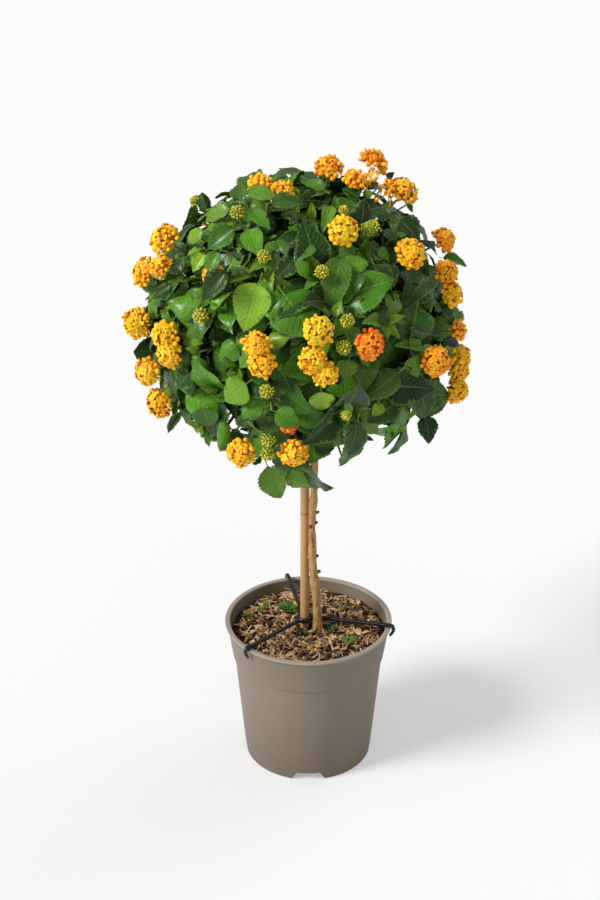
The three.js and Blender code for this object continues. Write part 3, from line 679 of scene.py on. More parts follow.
# %% A tree that sets copies on points
def copies_tree():
    tree = bpy.data.node_groups.new("copies_on_points", "GeometryNodeTree")
    for name, kind in [
        ("Geometry", "NodeSocketGeometry"),
        ("Kinds", "NodeSocketCollection"),
        ("Size", "NodeSocketFloat"),
        ("Uneven", "NodeSocketFloat"),
        ("Finish", "NodeSocketMaterial"),
    ]:
        tree.interface.new_socket(name, in_out="INPUT", socket_type=kind)
    tree.interface.new_socket("Geometry", in_out="OUTPUT", socket_type="NodeSocketGeometry")

    def add(kind, values=None, output=0, **settings):
        """Adds a node with its settings and its inputs, and returns one of its outputs."""
        node = tree.nodes.new(kind)
        for name, setting in settings.items():
            setattr(node, name, setting)
        for key, value in (values or {}).items():
            if isinstance(value, bpy.types.NodeSocket):
                tree.links.new(value, node.inputs[key])
            else:
                node.inputs[key].default_value = value
        return node.outputs[output] if node.outputs else None

    def on_point(name, data_type):
        return add("GeometryNodeInputNamedAttribute", {"Name": name}, data_type=data_type)

    points, kinds, size, uneven, finish = [add("NodeGroupInput", output=i) for i in range(5)]
    low = add("ShaderNodeMath", {0: 1.0, 1: uneven}, operation="SUBTRACT")
    high = add("ShaderNodeMath", {0: 1.0, 1: uneven}, operation="ADD")
    change = add("FunctionNodeRandomValue", {2: low, 3: high, "Seed": 5}, 1, data_type="FLOAT")
    sized = add("ShaderNodeMath", {0: change, 1: size}, operation="MULTIPLY")
    grow = {0: on_point("grow", "FLOAT_VECTOR"), "Scale": sized}
    instances = {
        "Points": points,
        "Instance": add("GeometryNodeCollectionInfo", {0: kinds, 1: True, 2: True}),
        "Pick Instance": True,
        "Instance Index": on_point("pick", "INT"),
        "Rotation": add("FunctionNodeEulerToRotation", {0: on_point("turn", "FLOAT_VECTOR")}),
        "Scale": add("ShaderNodeVectorMath", grow, operation="SCALE"),
    }
    copies = add("GeometryNodeInstanceOnPoints", instances)
    real = add("GeometryNodeRealizeInstances", {0: copies})
    painted = add("GeometryNodeSetMaterial", {0: real, "Material": finish})
    add("NodeGroupOutput", {0: painted})
    return tree


COPIES = copies_tree()
print("tree", COPIES.name, "with", len(COPIES.nodes), "nodes")

# %% Points with a turn, a size and a kind
def set_inputs(modifier, **values):
    """Sets a modifier's inputs by the identifiers of the sockets with those names."""
    for item in modifier.node_group.interface.items_tree:
        if item.item_type == "SOCKET" and item.in_out == "INPUT" and item.name in values:
            modifier[item.identifier] = values[item.name]


class Copies:
    """A list of copies to set: each has a place, three axes, a size, a kind and values."""

    def __init__(self, *value_names):
        self.places = []
        self.columns = {name: [] for name in ("turn", "grow", "pick", *value_names)}

    def add(self, place, axes, size, pick, **values):
        """axes are the copy's own X, Y and Z as unit vectors, and size is a number or three."""
        self.places.append(tuple(np.array(place) * MM))
        turn = Matrix(np.array(axes).T.tolist()).to_euler()
        sizes = size if hasattr(size, "__len__") else (size, size, size)
        row = {"turn": tuple(turn), "grow": tuple(part * MM for part in sizes), "pick": pick}
        for name, column in self.columns.items():
            column.append((row | values).get(name, 0.0))

    def piece(self, name, kinds, finish, sharp_above):
        """The copies as one object, with an edge where faces meet by more than so many degrees."""
        mesh = bpy.data.meshes.new(name)
        mesh.from_pydata(self.places, [], [])
        types = {"turn": "FLOAT_VECTOR", "grow": "FLOAT_VECTOR", "pick": "INT"}
        for column_name, column in self.columns.items():
            data_type = types.get(column_name, "FLOAT")
            data = mesh.attributes.new(column_name, data_type, "POINT").data
            numbers = np.array(column).ravel().tolist()
            data.foreach_set("vector" if data_type == "FLOAT_VECTOR" else "value", numbers)
        piece = link(name, mesh)
        modifier = piece.modifiers.new("copies", "NODES")
        modifier.node_group = COPIES
        set_inputs(modifier, Kinds=kinds, Size=1.0, Uneven=0.0, Finish=finish.material)
        to_plain_mesh(piece)
        for spent in ("turn", "grow", "pick"):
            if spent in piece.data.attributes:
                piece.data.attributes.remove(piece.data.attributes[spent])
        shade_smooth(piece.data, sharp_above)
        return piece


def kinds_collection(name, meshes):
    collection = bpy.data.collections.new(name)
    bpy.context.scene.collection.children.link(collection)
    for i, mesh in enumerate(meshes):
        collection.objects.link(bpy.data.objects.new(f"{name}_{i:02d}", mesh))
    return collection


def drop_kinds(collection):
    for kind in list(collection.objects):
        bpy.data.objects.remove(kind)
    bpy.data.collections.remove(collection)


print("copies ready")

# %% [markdown]
# ## Soil and bark mulch
#
# Dark peat soil fills the pot, and bark mulch keeps it moist: chipped and curled strips of conifer
# bark with pale fibres between them, up to 22 mm long, lying every way. The soil's solid is right as
# it is and only gets a finish. The mulch is a bumpy bed with about a thousand strips of nine kinds
# set on it by the tree above, tilted at random, clear of the stems and short beside the rim.

# %% Soil
soil = Finish("peat_soil", Roughness=0.95)
crumbs = soil.noise(4, detail=5.0)
soil.set(Base_Color=soil.mix((38, 25, 18), (78, 55, 38), crumbs))
soil.bump(crumbs, 1.5)

paint(frame["nodes"]["potting_soil"], soil)
print("the soil has its finish")

# %% Mulch: bed
GAP = 0.35  # between pieces that touch on the real plant
SOIL_TOP = 150
MULCH_TOP = 160
MULCH_RADIUS = 86.3
STAKE = Named(x=-4.2, y=2, radius=5.5, foot=22, top=455)
STAKE |= Named(knot=310, knot_half=3, knot_rise=0.35)
TRUNK = Named(x=10.8, y=-8, radius=4.4)


def near_stems(x, y, distance):
    return any(hypot(x - stem.x, y - stem.y) < distance for stem in (STAKE, TRUNK))


def mulch_height(x, y):
    """The height of the mulch: low waves, and a shallow heap round the stems."""
    bumps = sin(x * 0.21) + sin(y * 0.17 + 1) + sin((x + y) * 0.11)
    heap = 1.6 * exp(-(((x - 3) ** 2 + (y + 3) ** 2) / 900))
    return MULCH_TOP + 0.55 * bumps + heap


BED_SIDES = 96
BED_RINGS = 40
BED_SUNK = 0.6  # the bed lies a little lower than the strips that are set on it
BED_LUMP = 1.1

sides, rings = BED_SIDES, BED_RINGS
random = Dice(29)
points = [(0.0, 0.0, mulch_height(0, 0))]
for ring in range(1, rings + 1):
    radius = MULCH_RADIUS * ring / rings
    for turn in full_turn(sides):
        x, y = radius * cos(turn), radius * sin(turn)
        lump = 0 if ring == rings else random(-BED_LUMP, BED_LUMP)
        points.append((x, y, mulch_height(x, y) - BED_SUNK + lump))
points += [(x, y, SOIL_TOP + GAP) for x, y, _ in points[-sides:]]
faces = [(0, 1 + side, 1 + (side + 1) % sides) for side in range(sides)]
for ring in range(rings):
    low, high = 1 + ring * sides, 1 + (ring + 1) * sides
    for side in range(sides):
        after = (side + 1) % sides
        faces.append((low + side, high + side, high + after, low + after))
faces.append(tuple(reversed(range(len(points) - sides, len(points)))))
mulch_bed = link("mulch_bed", plain_mesh("mulch_bed", points, faces))
mulch_bed.data.shade_smooth()
print("mulch bed with", len(mulch_bed.data.polygons), "faces")

# %% Mulch: strips
def strip_mesh(name, length, width, thick, curl, bend, seed):
    """A strip of bark with torn ends: curl rolls it across its width, and bend arches its length."""
    random = Dice(seed)
    stations, across = 5, 4
    points = []
    tears = [(random(0.0, 0.22), random(0.0, 0.22)) for _ in range(across)]
    for i in range(stations):
        share = i / (stations - 1)
        for side in (1, -1):
            for j in range(across):
                u = j / (across - 1) - 0.5
                tear_low, tear_high = tears[j]
                along = -0.5 + tear_low + (1 - tear_low - tear_high) * share
                angle = u * curl
                radius = width / max(curl, 0.05)
                x = radius * sin(angle)
                z = radius * (cos(angle) - 1) + side * thick / 2
                z += bend * length * (0.25 - along**2) + 0.06 * width * sin(9 * along + seed)
                points.append((x + random(-0.05, 0.05) * width, along * length, z))
    faces = []
    ring = list(range(across)) + list(range(2 * across - 1, across - 1, -1))
    for i in range(stations - 1):
        low, high = i * 2 * across, (i + 1) * 2 * across
        for a, b in zip(ring, ring[1:] + ring[:1]):
            faces.append((low + a, low + b, high + b, high + a))
    faces.append(tuple(reversed(ring)))
    faces.append(tuple((stations - 1) * 2 * across + corner for corner in ring))
    mesh = plain_mesh(name, points, faces)
    face_outwards(mesh)
    return as_kind(mesh)


BARK_SIZES = [
    # length, width, thickness, curl, bend
    (17, 6.0, 1.3, 2.6, 0.10), (12, 6.5, 1.5, 1.6, 0.14), (19, 4.6, 1.1, 3.4, 0.16),
    (9, 5.5, 1.8, 1.0, 0.0), (22, 3.4, 1.0, 2.2, 0.22), (14, 2.6, 1.0, 1.4, 0.28),
    (20, 0.9, 0.6, 0.3, 0.3), (14, 0.8, 0.5, 0.3, 0.45), (24, 0.8, 0.5, 0.3, 0.2),
]
BARK_STRIPS = 1050
STRIP_SCALE = (0.42, 0.92)
FIBRE_FROM = 6  # the kinds from this one on are fibres
FIBRE_SHARE = 0.2
CLEAR_OF_STEMS = 9


def strip_axes(random, most_tilt):
    """A strip's axes: its length any way round, tilted a little, and rolled on its length."""
    turn, tilt, roll = random(0, 2 * pi), random(-most_tilt, most_tilt), random(-0.7, 0.7)
    along = np.array([cos(turn) * cos(tilt), sin(turn) * cos(tilt), sin(tilt)])
    across = unit(np.cross(along, UP))
    up = np.cross(across, along)
    return [
        cos(roll) * across - sin(roll) * up,
        along,
        sin(roll) * across + cos(roll) * up,
    ]


def scatter_bark(finish):
    random = Dice(4711)
    copies = Copies("shade", "fibre")
    while len(copies.places) < BARK_STRIPS:
        from_axis, turn = (MULCH_RADIUS - 3) * sqrt(random()), random(0, 2 * pi)
        x, y = from_axis * cos(turn), from_axis * sin(turn)
        is_fibre = random() < FIBRE_SHARE
        pick = int(random(FIBRE_FROM, 9)) if is_fibre else int(random(0, FIBRE_FROM))
        size = random(*STRIP_SCALE)
        if near_stems(x, y, CLEAR_OF_STEMS):
            continue
        size = min(size, 0.45 + (MULCH_RADIUS - from_axis) / 12)  # short ones close to the rim
        lift = random(0.0, 2.6) + (0.8 if is_fibre else 0.0)
        place = (x, y, mulch_height(x, y) + lift)
        axes = strip_axes(random, 0.25 if is_fibre else 0.6)
        copies.add(place, axes, size, pick, shade=random(), fibre=float(is_fibre))
    meshes = [strip_mesh(f"bark_{i}", *size, 40 + i) for i, size in enumerate(BARK_SIZES)]
    kinds = kinds_collection("bark", meshes)
    strips = copies.piece("mulch_strips", kinds, finish, sharp_above=50)
    drop_kinds(kinds)
    return strips


print(BARK_STRIPS, "strips to set on the bed")

# %% [markdown]
# ### Mulch: finish
#
# Conifer bark is tan to reddish brown outside and paler where it split. Each strip carries a random
# value that picks its own brown on a ramp, noise adds the grain, and fibres take a straw colour. The
# bed under them is dark crumbs, painted darker still as the shade in the gaps, so that the gaps read
# as depth.

# %% Mulch: bark colours
bark = Finish("bark_mulch", Roughness=0.88)
shade = bark.attribute("shade")
grain = bark.noise(1.4, detail=4.0)
patches = bark.noise(7, detail=2.0)
brown = bark.ramp(
    shade * 0.62 + grain * 0.34 + patches * 0.12,
    (0.12, 28, 18, 12),
    (0.34, 86, 59, 38),
    (0.52, 152, 114, 76),
    (0.7, 216, 180, 136),
    (0.9, 112, 72, 48),
)
straw = bark.mix((212, 178, 124), (158, 122, 78), grain)
bark.set(Base_Color=bark.mix(brown, straw, bark.attribute("fibre")))
bark.bump(grain, 0.5, 0.8)

bed = Finish("mulch_bed", Roughness=0.95)
crumbs = bed.noise(3.2, detail=6.0)
spots = bed.cells(2.4)
pale = bed.between(bed.noise(2.2, detail=3.0), 0.55, 0.68)
# painted shade: the bed is near black, so the gaps between strips read as shade
dark = bed.mix((14, 9, 7), (52, 36, 25), crumbs)
bed.set(Base_Color=bed.mix(dark, (128, 98, 66), pale * 0.6))
bed.bump(crumbs + spots * 0.5, 2.2)

finish_piece(mulch_bed, bed, "bark_mulch", "mulch")
finish_piece(scatter_bark(bark), None, "bark_mulch", "mulch")

# %% [markdown]
# ## The cane
#
# A smooth bamboo-like cane keeps the young trunk upright. It has one low joint above its middle and a
# very slight taper. Its finish is a pale tan with long fine fibres, darker at the joint, and satin
# from its natural wax.

# %% Cane
tan_cane = Finish("cane", Roughness=0.5)
fibres = tan_cane.noise(1.2, detail=3.0, where=tan_cane.stretched(1, 1, 0.03))
cloud = tan_cane.noise(30, detail=2.0)
wood = tan_cane.mix((172, 132, 84), (193, 156, 105), fibres)
wood = tan_cane.mix(wood, (156, 114, 69), cloud * 0.45)
away = tan_cane.one_math("ABSOLUTE", tan_cane.height() - STAKE.knot * MM)
at_joint = 1 - tan_cane.between(away, 0.0008, 0.003)
tan_cane.set(Base_Color=tan_cane.mix(wood, (140, 98, 62), at_joint * 0.6))
tan_cane.bump(fibres, 0.15, 0.5)

radius, knot, half = STAKE.radius - STAKE.knot_rise, STAKE.knot, STAKE.knot_half
corners = [
    (0, STAKE.foot, 0),
    (radius, STAKE.foot, 1),
    (radius, knot - half, 2),
    (STAKE.radius, knot, 1.5),
    (radius, knot + half, 2),
    (radius - 0.1, STAKE.top, 1),
    (0, STAKE.top, 0),
]
points, faces = turned(rounded(corners), 40)
cane = link("cane", plain_mesh("cane", np.array(points) + [STAKE.x, STAKE.y, 0], faces))
shade_smooth(cane.data)

finish_piece(cane, tan_cane, "cane", "stake")

# %% [markdown]
# ## The anchor
#
# A clip-on anchor of black plastic holds the cane to the pot: a ring round the cane and three springy
# arms that run out, over the rim and a little way down outside. The arms are round rods with rounded
# ends, and the ring is a band with a soft edge, as such a part comes out of its mould.

# %% Anchor
ANCHOR = Named(rod=2.4, hub=8, hub_z=173, arms=[-13, 105, 225], over_rim=3.2, leg=10)
CLEAR_OF_TRUNK = 20  # the least turn at which an arm may leave the ring


def anchor_arm(turn):
    out = outwards(turn)
    start = np.array([STAKE.x, STAKE.y, 0])
    start = start + ANCHOR.hub * outwards(max(turn, CLEAR_OF_TRUNK)) + UP * ANCHOR.hub_z
    top = POT.height + ANCHOR.over_rim
    outside = POT.rim + ANCHOR.rod + 0.9
    route = [(POT.rim - 12, top - 0.4), (POT.rim - 3, top), (outside - 1.6, top - 0.6)]
    route += [(outside - 0.2, top - 3.2), (outside, POT.height - ANCHOR.leg * 0.4)]
    route += [(outside - 3.4, POT.height - ANCHOR.leg)]
    line = smooth_line([start] + [out * radius + UP * z for radius, z in route], 34)
    thickness = ANCHOR.rod * np.interp(np.arange(34), [0, 29, 33], [1, 1, 0.66])
    return tube(line, thickness, 16)


def anchor_ring():
    """A band round the cane: a tall rounded section swept round a circle."""
    around, section = 48, 14
    thick, tall = 1.9, 3.0  # half of each
    points, faces = [], []
    for turn in full_turn(around):
        for angle in full_turn(section):
            flat = abs(cos(angle)) ** 0.7 * copysign(1, cos(angle))
            radius = ANCHOR.hub + thick * flat
            x, y = STAKE.x + radius * cos(turn), STAKE.y + radius * sin(turn)
            points.append((x, y, ANCHOR.hub_z + tall * sin(angle)))
    for i in range(around):
        faces += wall(i * section, (i + 1) % around * section, section)
    return points, faces


black = Finish("black_plastic")
dust = black.between(black.noise(6, detail=4.0), 0.55, 0.8)
black.set(Base_Color=black.mix((18, 20, 22), (52, 50, 48), dust * 0.6))
black.set(Roughness=0.34 + dust * 0.3)
black.bump(black.noise(0.8), 0.05, 0.4)

shape = Shape()
shape.add(*anchor_ring())
for turn in ANCHOR.arms:
    shape.add(*anchor_arm(turn))
clip_end = [(STAKE.x + 8, STAKE.y - 3, 174), (STAKE.x + 9.5, STAKE.y - 3.6, 180)]
shape.add(*tube(smooth_line(clip_end, 4), 1.6, 12))
anchor = shape.piece("anchor")
shade_smooth(anchor.data, sharp_above=50)

finish_piece(anchor, black, "anchor_plastic", "stake_anchor")

# %% [markdown]
# ## The trunk
#
# One shoot was picked as the trunk and all side shoots were cut from its lower part. It is woody, tan
# and a little crooked, with a ring at each old leaf joint, and a short grey stub or a round scar at
# each cut. Its foot spreads into a few roots that run out over the mulch. A tube through the line of
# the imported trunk, swollen and bulged by waves, gives its form up to the heart of the crown.

# %% Trunk: where it runs
HEART = np.array([-10.0, 0.0, 536.0])  # the middle of the crown
TRUNK_LINE = [
    (TRUNK.x, TRUNK.y, 140), (TRUNK.x, TRUNK.y, 166), (9.8, -7.6, 190), (7.5, -7, 220), (5, -6.6, 246),
    (3.9, -6.4, 280), (4.2, -6.4, 313), (6, -7.4, 345), (5.4, -8.8, 400), (1.5, -10, 460), tuple(HEART),
]
# Cut stubs as (height, turn round the trunk, radius, length), and bulges without a length.
STUBS = [
    (346, 5, 2.0, 4.0), (313, -5, 2.1, 2.4), (300, 0, 1.8, 1.4), (297, 242, 2.4, 0.3),
    (258, -5, 2.3, 1.7), (237, 0, 2.1, 3.0), (231, 190, 1.3, 2.6),
]
BULGES = [(258, 192, 2.5), (213, 190, 2.2), (199, -40, 2.0), (186, 210, 2.0)]
ROOTS = [
    [(9, -10, 174), (7.4, -13.4, 168), (3, -14.5, 164.4), (-4, -13, 162.6)],
    [(12.5, -8, 169), (16, -11, 165), (19, -14, 163)],
]

TRUNK_JOINTS = [192, 220, 256, 276, 299, 315, 346, 380, 415]


def trunk_thickness(line):
    """The trunk's radius: rings at its joints, slow waves, a flared foot and a stouter lower half."""
    heights = line[:, 2]
    joints = sum(np.exp(-(((heights - joint) / 1.6) ** 2)) for joint in TRUNK_JOINTS)
    waver = 0.35 * np.sin(heights * 0.12) + 0.2 * np.sin(heights * 0.31 + 1)
    flare = 0.8 * np.exp(-np.maximum(heights - 166, 0) / 7)
    stout = 0.9 * np.clip((290 - heights) / 60, 0, 1)
    return TRUNK.radius + waver + flare + stout + 0.45 * joints - 0.4


def at_height(line, height):
    return np.array([np.interp(height, line[:, 2], line[:, axis]) for axis in range(3)])


def knotty(points, depth, length, seed):
    """Moves points to and fro by smooth waves, so that a round part looks grown."""
    points = np.array(points)
    moves = [waves(points, length, seed + axis) for axis in range(3)]
    return points + depth * np.stack(moves, 1)


print("the trunk's line has", len(TRUNK_LINE), "points")

# %% Trunk: stem, stubs and roots
shape = Shape("cut", "age")
line = smooth_line(TRUNK_LINE, 190)
points, faces = tube(line, trunk_thickness(line), 24, False)
shape.add(knotty(points, 0.28, 14, 61), faces, cut=0.0, age=0.0)
for height, turn, radius, length in STUBS:
    centre = at_height(line, height)
    out = unit(outwards(turn) + UP * 0.35)
    reach = TRUNK.radius + length
    route = [centre + out * step for step in (1.5, reach * 0.7, reach)]
    points, faces = tube(route, [radius * 1.25, radius, radius * 0.85], 14)
    dark = [float(np.dot(point - centre, out) > reach - 0.5) for point in points]
    shape.add(knotty(points, 0.2, 5, 71), faces, cut=dark, age=0.6)
for height, turn, radius in BULGES:
    centre = at_height(line, height) + outwards(turn) * (TRUNK.radius - 1.2)
    route = [centre + UP * step for step in (-3.5, -1.5, 0, 1.5, 3.5)]
    girth = [radius * share for share in (0.35, 0.85, 1, 0.85, 0.35)]
    points, faces = tube(route, girth, 14)
    shape.add(knotty(points, 0.3, 6, 81), faces, cut=0.0, age=0.3)
for number, root in enumerate(ROOTS):
    route = smooth_line(root, 16)
    girth = np.linspace(2.3, 1.2, 16) * (1 + 0.16 * np.sin(np.arange(16) * 1.7 + number))
    points, faces = tube(route, girth, 12)
    shape.add(knotty(points, 0.35, 7, 91 + number), faces, cut=0.0, age=-0.3)
trunk = shape.piece("trunk_wood")
print("trunk with", len(trunk.data.polygons), "faces and", len(STUBS), "stubs")

# %% [markdown]
# ### Trunk: finish
#
# Young lantana bark is tan with long pale and brown fibres, small round pores and, where a shoot was
# cut, a dark dry end. The fibres are a noise drawn out upwards, the pores are small cells, and the
# cut ends come from a value that the stubs' own points carry.

# %% Trunk: bark
bark = Finish("lantana_bark", Roughness=0.82)
fibres = bark.noise(1.6, detail=5.0, where=bark.stretched(1, 1, 0.12))
cloud = bark.noise(16, detail=3.0)
pores = bark.between(bark.cells(2.6, where=bark.stretched(1, 1, 0.7)), 0.16, 0.3)
cracks = bark.between(bark.noise(2.6, detail=5.0, where=bark.stretched(1, 1, 0.1)), 0.36, 0.46)
wood = bark.ramp(
    fibres * 0.75 + cloud * 0.3,
    (0.25, 112, 74, 40),
    (0.45, 164, 121, 72),
    (0.7, 196, 158, 104),
)
wood = bark.mix((108, 70, 40), wood, cracks)
wood = bark.mix((146, 104, 64), wood, pores)
greyed = bark.mix(wood, (128, 104, 84), bark.attribute("age") * 0.7)
bark.set(Base_Color=bark.mix(greyed, (52, 36, 28), bark.attribute("cut") * 0.85))
bark.bump(fibres + cracks * 0.7 + pores * 0.2, 0.55)

finish_piece(trunk, bark, "bark", "trunk")

# %% [markdown]
# ## How the crown grows
#
# The crown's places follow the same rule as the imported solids: thirteen main stems leave the heart of
# the crown, each shoot leans into the cone of its nearest stem, and a leaf that would meet another
# swings aside, folds up or stays shorter. Working the rule out again here gives every leaf its own
# base, run and face, so the fine leaves keep the places and the silhouette of the solid ones.

# %% Crown: sizes
HEAD_REACH = 172
SHOOT = Named(start=88, radius=1.6, inside=3, flower_node=136, leaf_node=142, spacing=20)
SHOOT |= Named(deep_nodes=(100, 84), flower_length=(40, 50))
LEAF = Named(half_width=0.35, stalk=0.2, fold=0.3, arch=0.16, sag=0.1)
EDGE = [(0.22, 1), (0.36, 0.8), (0.57, 0.82), (0.68, 0.5)]
POSE = Named(tilt=62, tilt_step=20, growth=0.06, droop=0.28, face_up=0.35)
SETTLE = Named(steps=8, fold=0.08, shrink=0.05, swings=[0, 24, -24, 48, -48])
HEAD = Named(dome=0.86, foot=0.62)
SHAFT = Named(radius=25, y=-3)  # the room round the trunk and the cane that leaves keep out of

# Open flower heads on the show side as (turn, rise, radius, reach), in degrees and millimetres.
NEAR_HEADS = [
    [(-76, 36, 17)], [(-81, 22, 15.5)], [(-77, 6, 17)], [(-46, 71, 15.5)], [(-16, 68, 16)],
    [(-65, 29, 12.5)], [(-35, 33, 11)], [(-51, 9, 15), (-48, 3.5, 14.5)], [(-64, -8, 16)],
    [(-62, -20, 16.5)], [(-14, 13, 14), (-12, 7, 14)], [(-23, -30, 15.5)], [(-4, -16, 13.5)],
    [(-2, -27, 15.5)], [(63, 79, 15)], [(117, 62, 15.5, 182)], [(106, 50, 17)], [(63, 69, 12)],
    [(22, 50, 16)], [(51, 37, 16.5)], [(95, 30, 14.5)], [(70, 25, 14), (68, 18, 14)], [(6, 18, 15.5)],
    [(8, 4, 13), (4, 8.5, 14)], [(23, 12, 15)], [(51, 0, 16.5)], [(68, 5, 11)],
    [(74, -7, 14.5), (77, -13, 15.5), (75, -19, 15.5, 178)],
]
# The other heads keep to the side that faces away from a viewer in front of and above the plant.
VIEWER = Named(turn=0, rise=25)
FAR_HEADS = Named(count=11, spread=28, apart=23, facing=-0.25, lowest=-0.62, radius=15.5)
PARTNER = Named(every=3, apart=7.5)

# Leafy shoots on the show side as (turn, rise, spin, blade length, bud radius).
NEAR_SHOOTS = [
    (-42, 57, 20, 46, 6.5), (-16, 42, 60, 50, 6), (-37, 19, 0, 44, 7), (38, 50, 30, 50, 6.5),
    (9, 37, 75, 52, 6), (13, 27, 10, 56, 0), (-25, 1, 50, 46, 0), (44, 18, 35, 54, 0),
    (30, -8, 20, 56, 0), (-33, -11, 70, 46, 0), (-48, 31, 45, 46, 0), (-3, 29, 80, 58, 0),
    (17, -17, 40, 54, 0), (-11, -3, 15, 46, 6.5), (-33, 47, 65, 46, 0), (10, 61, 40, 46, 0),
    (-100, 78, 20, 50, 0), (110, 80, 65, 50, 0), (88, 3, 25, 48, 6), (52, -19, 70, 52, 0),
    (-74, -28, 60, 46, 0), (80, 55, 30, 46, 0), (90, 45, 60, 44, 0), (78, 12, 40, 44, 0),
    (66, -33, 10, 48, 0), (-84, -12, 20, 46, 0), (-90, 14, 50, 44, 0), (-8, -51, 40, 60, 0),
]
SKIRT = Named(count=8, rise=-41, first=-8, length=46, node=130)
FAR_SHOOTS = Named(spread=25, apart=16, behind=0.02, lowest=-0.55, length=56, bud=6, budless=0.6)
print(sum(len(group) for group in NEAR_HEADS), "heads and", len(NEAR_SHOOTS), "shoots on the show side")

# %% Crown: directions and stems
def direction(turn, rise):
    """The unit vector at a turn round the crown and a rise above its equator."""
    turn, rise = radians(turn), radians(rise)
    flat = cos(rise)
    return np.array([sin(turn) * flat, -cos(turn) * flat, sin(rise)])


def dome_directions(count, lowest):
    """Even unit vectors from the top of a dome down to the lowest angle, along a golden spiral."""
    golden = pi * (3 - sqrt(5))
    bottom = cos(radians(lowest))
    found = []
    for i in range(count):
        z = 1 - (1 - bottom) * (i + 0.5) / count
        flat = sqrt(1 - z * z)
        found.append(np.array([flat * cos(golden * i), flat * sin(golden * i), z]))
    return found


def even_directions(spread):
    return dome_directions(round(4 * pi / radians(spread) ** 2), 180)


def degrees_apart(a, b):
    return degrees(acos(np.clip(np.dot(a, b), -1, 1)))


# One stem at the top, five round the shoulder and seven round the skirt.
STEM_AXES = [UP]
STEM_AXES += [direction(14 + i * 72, 38) for i in range(5)]
STEM_AXES += [direction(i * 360 / 7, -14) for i in range(7)]
STEMS = range(len(STEM_AXES))
BORDERS = [
    np.array([unit(own - other) for j, other in enumerate(STEM_AXES) if j != i])
    for i, own in enumerate(STEM_AXES)
]


def stem_node(stem):
    return f"leafy_stem_{stem + 1:02d}"


def inside_by(offset, stem):
    """How far a point, given from the heart, lies inside the cone of a stem."""
    return float(np.min(BORDERS[stem] @ offset))


def nearest_stem(axis):
    return int(np.argmax([np.dot(own, axis) for own in STEM_AXES]))


def shoot_of(axis, reach, spin, length, **others):
    """A shoot that leans into the cone of its nearest stem. It has two pairs of leaves and no head."""
    stem = nearest_stem(axis)
    lean = np.array(axis)
    while inside_by(lean * reach, stem) < SHOOT.inside:
        lean = unit(lean + STEM_AXES[stem] * 0.01)
    shoot = Named(axis=lean, stem=stem, spin=radians(spin), length=length)
    return shoot | {"node": reach, "pairs": 2, "head": None, "bud": 0} | others


def find_heads():
    random = Dice(77)
    heads = []
    for group in NEAR_HEADS:
        heads.append([
            Named(axis=direction(turn, rise), radius=radius, reach=(rest or [HEAD_REACH])[0])
            for turn, rise, radius, *rest in group
        ])
    wanted = len(heads) + FAR_HEADS.count
    towards_viewer = direction(VIEWER.turn, VIEWER.rise)
    for even in even_directions(FAR_HEADS.spread):
        axis = unit(even + jitter(random, 0.07))
        places = [head.axis for group in heads for head in group]
        taken = any(degrees_apart(place, axis) < FAR_HEADS.apart for place in places)
        in_view = np.dot(axis, towards_viewer) > FAR_HEADS.facing
        if taken or len(heads) == wanted or in_view or axis[2] < FAR_HEADS.lowest:
            continue
        radius = FAR_HEADS.radius + random(-1.5, 1.5)
        group = [Named(axis=axis, radius=radius, reach=HEAD_REACH)]
        if len(heads) % PARTNER.every == 0:
            beside = unit(axis + square_axes(axis)[0] * tan(radians(PARTNER.apart)))
            group.append(Named(axis=beside, radius=radius - 1.5, reach=HEAD_REACH))
        heads.append(group)
    return heads


def find_shoots(heads):
    random = Dice(305)
    shoots = []
    for head, *_ in heads:
        spin, length = random(0, 180), random(*SHOOT.flower_length)
        shoot = shoot_of(head.axis, head.reach, spin, length, head=head, pairs=1)
        head.axis = shoot.axis
        shoots.append(shoot | {"node": SHOOT.flower_node})
    node = SHOOT.leaf_node
    for turn, rise, spin, length, bud in NEAR_SHOOTS:
        shoots.append(shoot_of(direction(turn, rise), node, spin, length, bud=bud))
    for i in range(SKIRT.count):
        axis = direction(SKIRT.first + i * 360 / SKIRT.count, SKIRT.rise)
        shoots.append(shoot_of(axis, SKIRT.node, random(0, 180), SKIRT.length))
    for axis in even_directions(FAR_SHOOTS.spread):
        taken = any(degrees_apart(shoot.axis, axis) < FAR_SHOOTS.apart for shoot in shoots)
        if taken or axis[1] < FAR_SHOOTS.behind or axis[2] < FAR_SHOOTS.lowest:
            continue
        shoot = shoot_of(axis, node, random(0, 180), FAR_SHOOTS.length)
        shoots.append(shoot | {"bud": FAR_SHOOTS.bud if random() > FAR_SHOOTS.budless else 0})
    return shoots


PAST_NODE = {True: 14, False: 5}  # how far a shoot with buds, or without, runs past its last leaves


def shoot_end(shoot):
    """How far from the heart a shoot ends: at the foot of its head, or a little past its leaves."""
    if shoot.head:
        return shoot.head.reach - HEAD.foot * shoot.head.radius - GAP
    return shoot.node + PAST_NODE[shoot.bud > 0]


LIGHT = direction(0, 40)
TO_LIGHT = 0.45  # how far a head turns from its shoot's axis to the light
LOOSE_REACH = 180  # a head that stands out further than this is a loose spray


def head_face(head):
    """The way a head faces: along its shoot, turned some way to the light."""
    to_light = 0.0 if head.reach > LOOSE_REACH else TO_LIGHT
    return unit(head.axis + LIGHT * to_light)


def head_foot(head):
    return HEART + head.axis * head.reach - head_face(head) * head.radius * 0.5


HEADS = find_heads()
SHOOTS = find_shoots(HEADS)
HEAD_CENTRES = np.array([HEART + head.axis * head.reach for group in HEADS for head in group])
HEAD_RADII = np.array([head.radius for group in HEADS for head in group])
print(len(HEADS), "head groups,", len(HEAD_RADII), "heads,", len(SHOOTS), "shoots")

